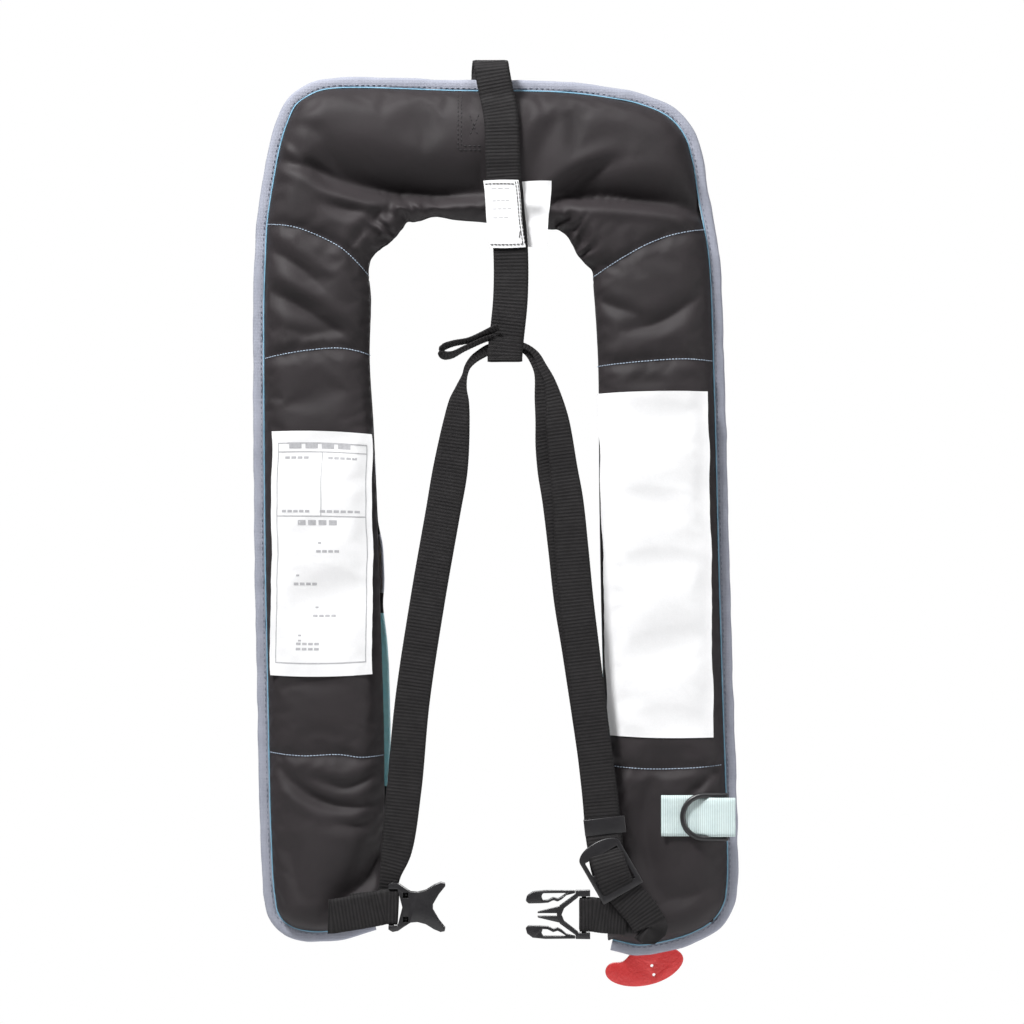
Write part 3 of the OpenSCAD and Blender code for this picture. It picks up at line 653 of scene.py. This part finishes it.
x, z, v = pack_grid(3.0, 3.0, border=8.6)
y = padded_surface(x, z, v, -1, BACK_BASE, HALF_DEPTH + BACK_BASE, 3)
for fold, depth, *width in BACK_FOLDS:
    y = crease(x, z, y, fold, CLOTH_FOLD * depth, *width)
rows, cols = x.shape
back_cover = add_mesh("back_cover", np.stack([x, y, z], -1), grid_faces(rows, cols), "cloth")
face_towards(back_cover, (0, -1, 0))
held = np.zeros((rows, cols))
held[[0, -1], :] = 1
held[:, [0, -1]] = 1
held[:, [1, -2]] = 0.6
for line in SEAMS:
    held = np.maximum(held, np.exp(-((distance_to(curve_through(line, 3), x, z)[0] / 2.5) ** 2)))
apply_cloth(back_cover, held.ravel(), growth=0.012, pressure=0.6, frames=14, cap=3.0)
back_cover.modifiers.new("finer", "SUBSURF").levels = 1
bake_modifiers(back_cover)
cover = BVHTree.FromObject(back_cover, bpy.context.evaluated_depsgraph_get())
thicken(back_cover, 1.2)
belongs(back_cover, "charcoal_cloth", "collar_back_panel", "left_back_panel", "right_back_panel")


def on_cover(px, pz, default=-2.0):
    """Y of the back cover at x and z, in millimetres."""
    hit = cover.ray_cast(Vector((px * MM, -0.2, pz * MM)), Vector((0, 1, 0)))[0]
    return hit.y / MM if hit else default


# The front covers meet on level lines at the flaps' tops.
front_across = [((a[0], FLAP_TOP), (b[0] + 1 - 2 * (b[0] > 0), FLAP_TOP)) if a in ((-172, -145), (168, -145))
                else (a, b) for a, b in ACROSS]
x, z, v = pack_grid(4.0, 4.0, border=8.3, across=front_across)
y = padded_surface(x, z, v, 1, FRONT_BASE, HALF_DEPTH - 1.2, 21)
rows, cols = x.shape
# The left flap's teal and grey cloth stands past the pack's inner edge.
lobe = (z < -170) & (x < 0)
bulge = np.exp(-(((z + 466) / 66) ** 4)) + 0.7 * np.exp(-(((z + 367) / 24) ** 4))
x = x + 4.6 * lobe * np.exp(-(((1 - v[None, :]) / 0.13) ** 2)) * bulge
half = rows // 2
split = [int(np.argmin(np.abs(z[:half, -1] - FLAP_TOP))), half + int(np.argmin(np.abs(z[half:, -1] - FLAP_TOP)))]
# The lower end of each colour block, with its place in FRONT_CLOTHS.
FRONT_CLOTHS = ["black", "lavender", "teal"]
BLOCKS = [(-287, 0), (-303, 1), (-347, 0), (-388, 1), (-404, 0), (-530, 2), (-900, 0)]
for name, lo, hi, body, cad, slot in (
    ("left_front_cover", 0, split[0], "left_front_flap", "left_flap", "teal_cloth"),
    ("collar_front", split[0], split[1], "jacket", "collar_front_cover", "black_cloth"),
    ("right_front_cover", split[1], rows - 1, "right_front_flap", "right_flap", "teal_cloth"),
):
    part = slice(lo, hi + 1)
    points = np.stack([x[part], y[part], z[part]], -1)
    faces = grid_faces(hi + 1 - lo, cols)
    row_z = (points[:-1, :, 2] + points[1:, :, 2]).mean(axis=1) / 2
    row_kind = [0 if name == "collar_front" else next(m for low, m in BLOCKS if c > low) for c in row_z]
    kinds = np.repeat(row_kind, cols - 1).tolist()
    piece = add_mesh(name, points, faces, FRONT_CLOTHS, face_mats=kinds)
    face_towards(piece, (0, 1, 0))
    piece.modifiers.new("finer", "SUBSURF").levels = 1
    bake_modifiers(piece)
    thicken(piece, 1.1)
    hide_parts(cad)
    if body == "jacket":
        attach(piece, body)
    else:
        # The flap bends over 17 mm next to its inner edge, which leans a little.
        start, stop = ((-88.5, 1.6, -216), (-105.5, 1.6, -216.5)) if body.startswith("left") else \
            ((80, 1.6, -218), (97, 1.6, -217.7))
        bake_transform(piece, "jacket", body, tuple(c * MM for c in start), tuple(c * MM for c in stop))

# ---------- binding, piping and threads ----------


def sweep(name, path, profile, mats, wave, seed):
    """A closed profile of (inward, y) points along a path in x and z."""
    t = tangents(path)
    inward = np.stack([t[:, 1], -t[:, 0]], 1)
    profile = np.array(profile, float)
    s = lengths(path)
    shift = wave * wobble(s, 0 * s, 38, seed)
    lift = wave * wobble(s, 0 * s, 55, seed + 1)
    verts = np.zeros((len(path), len(profile), 3))
    for i, (n, py) in enumerate(profile):
        ripple = 1 + 0.25 * wave * wobble(s, 0 * s + 40 * i, 30, seed + 2)
        verts[:, i, 0] = path[:, 0] + inward[:, 0] * (n * ripple + shift)
        verts[:, i, 2] = path[:, 1] + inward[:, 1] * (n * ripple + shift)
        verts[:, i, 1] = py + lift
    return add_mesh(name, verts, closed_faces(len(path), len(profile)), mats)


TUBE_SIDES = 6


def tube(path, radius):
    """Vertices and faces of a closed tube along a path of points. radius is one value or one for each point."""
    t = tangents(path)
    up = np.array([0, 1.0, 0]) if abs(t[:, 1]).mean() < 0.8 else np.array([1.0, 0, 0])
    a = np.cross(t, up)
    a /= np.maximum(np.linalg.norm(a, axis=1, keepdims=True), 1e-9)
    b = np.cross(t, a)
    angle = np.linspace(0, 2 * math.pi, TUBE_SIDES, endpoint=False)
    radius = np.broadcast_to(np.asarray(radius, float), (len(path),))
    ring = np.cos(angle)[None, :, None] * a[:, None] + np.sin(angle)[None, :, None] * b[:, None]
    return (path[:, None] + ring * radius[:, None, None]).reshape(-1, 3), closed_faces(len(path), TUBE_SIDES)


def joined(name, parts, mats):
    """One mesh object from several (verts, faces)."""
    verts, faces, start = [], [], 0
    for part_verts, part_faces in parts:
        verts.append(part_verts)
        faces += [[i + start for i in f] for f in part_faces]
        start += len(part_verts)
    return add_mesh(name, np.vstack(verts), faces, mats)


def stitches(name, paths, mat, length, gap, radius):
    """Thread showing as dashes along paths of points, each dash arched and dipping at its ends."""
    parts = []
    for path in paths:
        total = lengths(path)[-1]
        for k in range(int(total / (length + gap))):
            begin = k * (length + gap) + rng.uniform(-0.15, 0.15)
            dash = at(path, np.linspace(begin, begin + length, 6))
            bow = np.sin(np.linspace(0, math.pi, 6))
            dash[:, 1] -= 0.35 * bow - 0.2
            parts.append(tube(dash, radius * (0.55 + 0.45 * bow)))
    return joined(name, parts, mat)


def draped(path, lift):
    """A path in x and z laid on the back cover."""
    path = even(np.array(path, float), 1.0)
    return np.array([(a, on_cover(a, b) - lift, b) for a, b in path])


bound = curve_through([(-83, -634.5)] + LEFT_EDGE + COLLAR_EDGE + RIGHT_EDGE, 2)
profile = [(8.0, -3.0), (7.9, -3.6), (6.6, -3.9), (4, -3.95), (1.8, -3.7), (0.4, -2.8), (0, -1.3), (0.4, 0.4),
           (1.8, 1.5), (4, 2.0), (6.6, 2.1), (7.9, 1.9), (8.0, 1.3), (6, 0.9), (3, 0.6), (1.6, -1.2), (3, -2.6),
           (6, -2.9)]
belongs(sweep("edge_binding", even(bound, 2.2), profile, "binding", wave=0.2, seed=5),
        "grey_binding", "collar_binding", "left_binding", "right_binding")


def beside_edge(step, by, y):
    """A line of points inside the outline, by millimetres from it and at one y."""
    line = inset(even(bound, step), by)
    return np.stack([line[:, 0], 0 * line[:, 0] + y, line[:, 1]], 1)


belongs(joined("binding_piping", [tube(beside_edge(1.5, 8.1, -3.7), 0.55)], "blue_edge"), "grey_binding")
belongs(stitches("binding_stitches", [beside_edge(1.0, 6.2, -4.0)], "dark_thread", 2.4, 1.7, 0.24))
belongs(stitches("seam_stitches", [draped(curve_through(line, 2), 0.1) for line in SEAMS],
                 "pale_thread", 1.7, 0.55, 0.36))
box_lines = [[(-23, -21), (-23, -67), (-3, -67)], [(-15, -41), (-8, -58)], [(-8, -41), (-15, -58)],
             [(-20.5, -22), (-20.5, -64), (-3, -64)]]
belongs(stitches("strap_box_stitches", [draped(p, 0.1) for p in box_lines], "black_thread", 2.4, 1.0, 0.3))

# ---------- labels ----------

LABEL_STEP = 2.0


def label(name, corners, bow, cad=None, lift=0.7, free=-2.0, over=None):
    """A label laid on the cover. corners are top left, top right, bottom right, bottom left, as x and z.
    free is its y past the cover. over is a strap's place in x, half width and y, where the label lies on one.
    Returns a function from (0 to 1 across, 0 to 1 down) to a point on it."""
    tl, tr, br, bl = (np.array(c, float) for c in corners)
    nu = int(np.linalg.norm(tr - tl) / LABEL_STEP) + 2
    nv = int(np.linalg.norm(bl - tl) / LABEL_STEP) + 2
    s, t = np.meshgrid(np.linspace(0, 1, nu), np.linspace(0, 1, nv))
    plan = ((1 - s) * (1 - t))[..., None] * tl + (s * (1 - t))[..., None] * tr \
        + (s * t)[..., None] * br + ((1 - s) * t)[..., None] * bl
    plan[..., 1] += bow * np.sin(math.pi * s) * (1 - 2 * t)
    plan[..., 0] += 0.5 * wobble(plan[..., 1], 0 * s, 60, 4)
    high = np.array([[on_cover(a, b, free) for a, b in row] for row in plan])
    if over:
        middle, half, level = over
        high = np.minimum(high, np.where(np.abs(plan[..., 0] - middle) < half, level, 0))
    level = high.copy()
    for _ in range(40):
        p = np.pad(level, 1, mode="edge")
        level = (p[1:-1, 1:-1] * 2 + p[:-2, 1:-1] + p[2:, 1:-1] + p[1:-1, :-2] + p[1:-1, 2:]) / 6
        level = np.minimum(level, high)
    level = level - lift
    points = np.stack([plan[..., 0], level, plan[..., 1]], -1)
    thing = add_mesh(name, points, grid_faces(nv, nu), "label")
    face_towards(thing, (0, -1, 0))
    belongs(thing, "white_label", *([cad] if cad else []))

    def spot(a, b, rise=0.0):
        a, b = np.clip(a, 0, 1) * (nu - 1), np.clip(b, 0, 1) * (nv - 1)
        i, j = np.minimum(a.astype(int), nu - 2), np.minimum(b.astype(int), nv - 2)
        fa, fb = (a - i)[..., None], (b - j)[..., None]
        p = (points[j, i] * (1 - fa) + points[j, i + 1] * fa) * (1 - fb) \
            + (points[j + 1, i] * (1 - fa) + points[j + 1, i + 1] * fa) * fb
        p[..., 1] -= rise
        return p

    return spot


def printed(name, spot, bars):
    """Thin printed bars on a label, each (left, top, right, bottom) as shares of it."""
    parts = []
    for left, top, right, bottom in bars:
        nu, nv = max(2, int((right - left) * 40)), max(2, int((bottom - top) * 80))
        s, t = np.meshgrid(np.linspace(left, right, nu), np.linspace(top, bottom, nv))
        parts.append((spot(s, t, 0.12).reshape(-1, 3), grid_faces(nv, nu)))
    ink = joined(name, parts, "ink")
    face_towards(ink, (0, -1, 0))
    belongs(ink)


left_spot = label("inflation_label_sheet", [(-158, -270.5), (-85.5, -272.5), (-85, -446.5), (-159.5, -447.5)],
                  1.2, "inflation_label")
bars = [(0.055, 0.047, 0.945, 0.052), (0.055, 0.944, 0.945, 0.949), (0.055, 0.047, 0.064, 0.949),
        (0.936, 0.047, 0.945, 0.949), (0.055, 0.083, 0.945, 0.087), (0.495, 0.087, 0.503, 0.345),
        (0.055, 0.345, 0.945, 0.349)]


def text_bars(left, right, top, height, words):
    """Plain grey bars that stand where a line of print is."""
    cuts = np.linspace(left, right, words + 1)
    return [(a, top, b - 0.25 * (right - left) / words, top + height) for a, b in zip(cuts, cuts[1:])]


bars += text_bars(0.17, 0.82, 0.052, 0.019, 4) + text_bars(0.13, 0.38, 0.104, 0.01, 4)
bars += text_bars(0.56, 0.86, 0.104, 0.01, 5) + text_bars(0.11, 0.4, 0.322, 0.01, 5)
bars += text_bars(0.49, 0.9, 0.322, 0.01, 6) + text_bars(0.27, 0.68, 0.363, 0.02, 4)
for left, top in ((0.44, 0.485), (0.23, 0.618), (0.42, 0.748), (0.26, 0.862), (0.26, 0.883)):
    bars += text_bars(left, left + 0.24, top, 0.01, 4)
    bars += [(left + 0.02, top - 0.033, left + 0.05, top - 0.026)]
printed("label_print", left_spot, bars)
label("approval_label_sheet", [(78.5, -243), (158.5, -241.5), (162.5, -492.5), (85.5, -491)], 0.8, "approval_label")

care_spot = label("care_label_sheet", [(-4.5, -89.5), (21, -89), (25.5, -137.5), (-0.5, -138)], 0.4, "care_label",
                  lift=0.6, free=-21, over=(12.5, 14.5, -27.2))
label("care_label_second_leaf", [(23.5, -89.5), (45, -89), (41, -136.5), (27, -136.8)], 0.4, lift=0.8, free=-21)
care_bars = text_bars(0.2, 0.75, 0.12, 0.012, 3) + text_bars(0.2, 0.7, 0.3, 0.01, 4)
care_bars += text_bars(0.2, 0.75, 0.42, 0.01, 4) + text_bars(0.2, 0.65, 0.55, 0.01, 3)
printed("care_label_print", care_spot, care_bars)
care_paths = []
for ends in ([(0.9, 0.02), (0.93, 0.98)], [(0.03, 0.05), (0.97, 0.06)], [(0.03, 0.95), (0.97, 0.95)],
             [(0.97, 0.02), (0.99, 0.98)], [(0.85, 0.86), (0.93, 0.72)]):
    shares = even(np.array(ends, float), 0.03)
    care_paths.append(care_spot(shares[:, 0], shares[:, 1], 0.3))
belongs(stitches("care_label_stitches", care_paths, "black_thread", 2.2, 0.5, 0.3))

# ---------- webbing ----------

W = 25
# The y of the three layers of webbing and of the buckles, and the z of the left and right buckles.
L1, L2, L3 = -24.6, -26.9, -29.2
BUCKLE_Y = L2 - 3.6
LEFT_Z, RIGHT_Z = -614, -619.5
ACROSS_POINTS = 12
# Webbing in front of this y lies on the pack. A selvedge starts at a share of the half width.
ON_PACK = -15
SELVEDGE = 0.88


def webbing(name, points, widths, thickness, across=None, mat="webbing", rib=2.5, wave=0.35, seed=0):
    """Ribbed webbing through points, kept clear of the cover that it lies on.
    widths is one value or one for each point; across is its fixed width direction."""
    points = np.array(points, float)
    widths = np.broadcast_to(np.asarray(widths, float), (len(points),))
    both = even(curve_through(np.column_stack([points, widths * 0.35]), 0.5), 0.6)
    path, width = both[:, :3], both[:, 3] / 0.35
    level = path[:, 1].copy()
    for i, (px, py, pz) in enumerate(path):
        if py < ON_PACK:
            reach = [on_cover(px + k * width[i], pz + h * width[i], 0)
                     for k in (-0.4, 0, 0.4) for h in (-0.3, 0, 0.3)]
            level[i] = min(py, min(reach) - thickness / 2 - 0.5)
    wide = np.array([level[max(0, i - 8):i + 9].min() for i in range(len(level))])
    kernel = np.hanning(15) / np.hanning(15).sum()
    smooth = np.convolve(np.pad(wide, 7, mode="edge"), kernel, "valid")
    path[:, 1] = np.where(path[:, 1] < ON_PACK, np.minimum(path[:, 1], smooth), path[:, 1])
    s = lengths(path)
    t = tangents(path)
    side = np.cross(t, [0, 1.0, 0]) if across is None else np.broadcast_to(np.array(across, float), t.shape)
    side = side - (side * t).sum(1, keepdims=True) * t
    side /= np.linalg.norm(side, axis=1, keepdims=True)
    normal = np.cross(side, t)
    ribs = np.abs(np.sin(math.pi * s / rib)) ** 0.7
    drift = wave * wobble(s, 0 * s, 70, seed)
    k = np.linspace(-1, 1, ACROSS_POINTS)
    selvedge = np.abs(k) > SELVEDGE
    rings = []
    for face in (1, -1):
        row = []
        for j in range(ACROSS_POINTS)[::face]:
            high = thickness / 2 - 0.05 - (0.28 if selvedge[j] else 0)
            rise = face * (high + (0.1 * ribs**0.5 if selvedge[j] else 0.42 * ribs))
            cup = 0.35 * math.cos(k[j] * 1.4) * wave
            edge_ripple = 0.12 * ribs if selvedge[j] else 0
            out_to = k[j] * (width / 2 + edge_ripple)
            row.append(path + side * out_to[:, None] + normal * (rise + drift + cup)[:, None])
        rings.append(np.stack(row, 1))
    verts = np.concatenate(rings, axis=1)
    flat_u = np.concatenate([k, k[::-1]])[None, :] * width[:, None] / 2 * MM
    uvs = np.stack([flat_u, np.broadcast_to(s[:, None] * MM, flat_u.shape)], -1).reshape(-1, 2)
    return add_mesh(name, verts, closed_faces(len(path), verts.shape[1]), mat, uvs=uvs)


# Each strap's points, widths, thickness and width direction.
STRAPS = {
    "back_strap": (
        [(-1, 2.2, -13.2), (-1, 3.2, -8), (-0.5, 1.6, -2.6), (0, -3, -0.9), (0, -12, -1.2), (1, -19, -4.5),
         (2, L1 + 0.6, -11), (4, L1, -22), (8, L1, -42), (10, L1, -86), (15, L1, -137), (15, L1, -174),
         (12, L1, -205), (11, L1 - 0.4, -218), (11, L1 - 2.6, -220.4), (11, L3 - 0.6, -218.6), (11, L3 - 1, -215),
         (12, L3 - 1, -203)], W, 1.5, (1, 0, 0)),
    "strap_tab": (
        [(6, L3 - 1.2, -195), (2, L3 - 1.6, -197), (-6, L3 - 1.6, -201), (-16, L3 - 1.2, -205),
         (-27, L3 - 1.2, -207.5), (-33, L3 - 1.2, -210), (-35.5, L3 - 1.2, -213), (-33.5, L3 - 1.2, -215.5),
         (-28, L3 - 1.2, -215.5), (-18, L3 - 1.2, -210.5), (-6, L3 - 1.2, -205.5), (3, L3 - 1.2, -202.5)],
        [8, 8, 7, 6, 6.5, 8, 9, 9, 8, 6, 6, 6], 1.3, (0.1, -0.8, 0.6)),
    "belt_left": (
        [(12, L2, -210), (0, L2, -211.5), (-6, L2, -214.5), (-11.7, L2, -218.6), (-16, L2, -224), (-18, L2, -230),
         (-20.5, L2, -239), (-22, L2, -248), (-24, L2, -264), (-28.5, L1 - 1, -298), (-34, L1, -330),
         (-45, L1, -393), (-56, L1, -466), (-62, L1, -530), (-67.5, L1, -574), (-72, L1 - 1, -592),
         (-74, L1 - 1, -606)],
        [10, 8, 7, 6, 4.5, 4, 8, 14, 19, W, W, W, W, W, 22, 15, 13], 1.7, None),
    "belt_right_inner": (
        [(12.6, L2, -210), (22, L2, -210.5), (27, L2, -214), (32, L2, -221.5), (35.8, L2, -229.5),
         (37.5, L2, -247), (39.5, L2, -262), (42.5, L1 - 1, -280), (46.5, L1, -298), (50.5, L1, -320),
         (55, L1, -357), (59, L1, -393), (65, L1, -430), (79.7, L1, -530), (86.8, L1 + 0.3, -590),
         (92, L1 + 0.8, -599)],
        [8, 5, 4, 4.5, 7, 10, 13, 19, 24, W, W, W, W, W, W, 22], 1.5, None),
    "belt_right_outer": (
        [(14, L3, -208), (22, L3, -208.5), (28, L3, -210.5), (33.6, L3, -215.6), (38, L3, -224.5), (43, L3, -234),
         (46.8, L3, -249), (49, L3, -264), (53.5, L2, -298), (56.5, L2, -320), (59.5, L2, -357), (62.5, L2, -393),
         (67, L2, -430), (79, L2, -530), (82, L2, -564), (83.2, L2 - 2.4, -572), (85, -32.6, -579.5),
         (87.6, -35.9, -587.7), (90.6, -33, -595.5), (94, L3 - 0.4, -602)],
        [7, 5, 4, 5, 7, 8, 12.5, 17, 20, 22, 24, W, W, W, W, 24.6, 24.6, 24.6, 24.6, 24.6], 1.5, None),
    "left_tail": (
        [(-100, BUCKLE_Y + 2.1, -617), (-80, BUCKLE_Y + 2.1, -615), (-76, BUCKLE_Y + 2.1, LEFT_Z),
         (-70.5, BUCKLE_Y + 2.1, LEFT_Z), (-67.2, BUCKLE_Y + 1.8, LEFT_Z), (-66.4, BUCKLE_Y, LEFT_Z),
         (-67.2, BUCKLE_Y - 1.8, LEFT_Z), (-70.5, BUCKLE_Y - 2.1, LEFT_Z), (-76, BUCKLE_Y - 2.1, LEFT_Z),
         (-80, BUCKLE_Y - 2.1, -615), (-96, BUCKLE_Y - 1.4, -618), (-108, BUCKLE_Y, -620),
         (-114, BUCKLE_Y + 1.6, -621), (-116.6, BUCKLE_Y + 3, -621)], 24.6, 1.2, (0.16, 0, 1)),
    "right_tail": (
        [(120, L1 - 1, -622), (100, L1 - 1, -621.5), (84, L1 - 1.6, -621), (74, BUCKLE_Y + 2.1, RIGHT_Z),
         (68, BUCKLE_Y + 2.1, RIGHT_Z), (65.8, BUCKLE_Y + 1.9, RIGHT_Z), (65.2, BUCKLE_Y, RIGHT_Z),
         (65.8, BUCKLE_Y - 1.9, RIGHT_Z), (68, BUCKLE_Y - 2.1, RIGHT_Z), (74, BUCKLE_Y - 2.1, RIGHT_Z),
         (84, L2 - 1.4, -621), (99, L2 - 0.6, -622.5)], 24.4, 1.2, (0, 0, 1)),
    "right_tail_drop": (
        [(94, L3 - 1.2, -599.5), (100, L3 - 1.4, -607), (108, L3 - 1.4, -616), (113.5, L3 - 1, -624),
         (116, L3, -628.5), (115.6, L3 + 1.3, -629.6), (112, L1 - 2.3, -627)], 24.6, 1.4, None),
}
for i, (name, (points, widths, thick, across)) in enumerate(STRAPS.items()):
    belongs(webbing(name + "_webbing", points, widths, thick, across, seed=30 + i),
            "black_webbing", name.replace("_drop", ""))

UNDER = -22.8
RING_Z = -549.5
tape_low = [(124, UNDER + 0.3, -548.8), (140, UNDER, -548.8), (152, UNDER - 0.2, -548.8)]
belongs(webbing("d_ring_tape_lower", tape_low, 29.5, 1.2, (0, 0, 1), "pale_webbing", 1.6, 0.1),
        "pale_teal_webbing", "d_ring_webbing")
tape_high = [(143, UNDER - 1.2, RING_Z), (150, UNDER - 1.5, RING_Z), (158, UNDER - 2.5, RING_Z),
             (165, -29.6, RING_Z), (171, -30, RING_Z), (174, -29.4, RING_Z), (177.5, -27.6, RING_Z)]
belongs(webbing("d_ring_tape_upper", tape_high, 28, 1.2, (0, 0, 1), "pale_webbing", 1.6, 0.1), "pale_teal_webbing")

# ---------- moulded and metal parts ----------


def refined(node, mat, slot, bevel):
    """A copy of a CAD node with its edges rounded, which rides on the same body and stands for the node."""
    source = nodes[node]
    thing = new_object(node + "_moulded", source.data.copy())
    mesh = thing.data
    work = bmesh.new()
    work.from_mesh(mesh)
    bmesh.ops.remove_doubles(work, verts=work.verts, dist=0.00002)
    bmesh.ops.dissolve_limit(work, angle_limit=math.radians(1.5), verts=work.verts, edges=work.edges)
    work.to_mesh(mesh)
    work.free()
    mesh.materials.clear()
    mesh.materials.append(M[mat])
    if bevel:
        rounded = thing.modifiers.new("rounded", "BEVEL")
        rounded.width = bevel * MM
        rounded.segments = 2
        rounded.limit_method = "ANGLE"
        rounded.angle_limit = math.radians(35)
        bake_modifiers(thing)
    thing.data.shade_smooth()
    thing.data.set_sharp_from_angle(angle=math.radians(40))
    belongs(thing, slot, node, body=body_of(source)[0])
    return thing


# The CAD nodes of each material and slot, with how far their edges are rounded.
REFINED = {
    ("plastic", "black_plastic"): dict(strap_keeper=0.4, adjuster=0.6, male_buckle=0.45, latch_upper=0.6,
                                       latch_lower=0.6, female_buckle=0.7, d_ring=0, inflator_body=0.6),
    ("painted", "painted_steel"): dict(gas_cylinder=0.5),
    ("rubber", "seal_rubber"): dict(cylinder_gasket=0.2),
    ("steel", "bright_steel"): dict(firing_pin=0.2, lever_pin=0.15, manifold_nut=0.3, oral_valve_spring=0),
    ("red", "red_plastic"): dict(pull_lever=0.3, pull_handle=0.9),
    ("grey_plastic", "grey_plastic"): dict(manifold=0.3, oral_valve_stem=0.2),
    ("bladder", "yellow_bladder"): dict(oral_tube=0.3),
    ("orange", "orange_plastic"): dict(oral_dust_cap=0.3, whistle=0.4),
    ("black_thread", "black_cord"): dict(whistle_cord=0),
    ("red_cord", "red_cord"): dict(pull_cord=0),
    ("hook", "hook_tape"): dict(left_hook_strip=0.15, right_hook_strip=0.15, left_loop_strip=0.15,
                                right_loop_strip=0.15),
    ("silver", "silver_tape"): dict(reflective_tape=0.1),
}
moulded = {node: refined(node, mat, slot, bevel)
           for (mat, slot), bevels in REFINED.items() for node, bevel in bevels.items()}
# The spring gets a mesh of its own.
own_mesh(moulded["oral_valve_spring"])

# The floors of the two square recesses in the female buckle.
floors = []
for s in (-1, 1):
    x, z = np.meshgrid((-62.8, -58.2), LEFT_Z + s * 8.7 + np.array((-2.3, 2.3)))
    corners = np.stack([np.array([x, np.full(x.shape, y), z]) for y in (BUCKLE_Y - 1.8, BUCKLE_Y + 1.8)])
    corners = corners.transpose(0, 2, 3, 1).reshape(-1, 3)
    floors.append((corners, [[0, 1, 3, 2], [4, 6, 7, 5], [0, 4, 5, 1], [2, 3, 7, 6], [0, 2, 6, 4], [1, 5, 7, 3]]))
belongs(joined("female_buckle_recesses", floors, "plastic"), "black_plastic", body="female_body")

# ---------- the folded bladder inside ----------

x, z, v = pack_grid(6.0, 2.6, border=24)
# Its inner half is drawn outwards, so it stays clear of the pack's inner edge.
pull = np.clip((v[None, :] - 0.5) * 2, 0, 1) * 0.16
x, z = x + (x[:, :1] - x) * pull, z + (z[:, :1] - z) * pull
d = plan_border(x, z)
pleats = 1.4 * np.sin(v[None, :] * math.pi * 7 + 0.8 * wobble(x, z, 120, 61)) + 0.5 * wobble(x, z, 50, 62)
back = -14.2 - 0.3 * wobble(x, z, 80, 63) * crown(d, 6)
for fold, depth, *width in BACK_FOLDS:
    back = crease(x, z, back, fold, BLADDER_FOLD * depth, *(w + 2 for w in width), lip=0)
front = np.maximum(-11.6 + (pleats + 1.2) * crown(d, 6) * 0.5, back + 1.5)
rows, cols = x.shape
loop = np.concatenate([np.stack([x, front, z], -1), np.stack([x, back, z], -1)[:, ::-1]], axis=1)
bladder = add_mesh("folded_bladder", loop, closed_faces(rows, 2 * cols), "bladder")
belongs(bladder, "yellow_bladder", "bladder")

# ---------- floor ----------

work = bmesh.new()
bmesh.ops.create_grid(work, x_segments=8, y_segments=8, size=1.0)
floor_mesh = bpy.data.meshes.new("floor")
work.to_mesh(floor_mesh)
work.free()
floor_mesh.materials.append(M["floor"])
floor = new_object("floor", floor_mesh)
floor.location = (0, 0, FLOOR_Z)
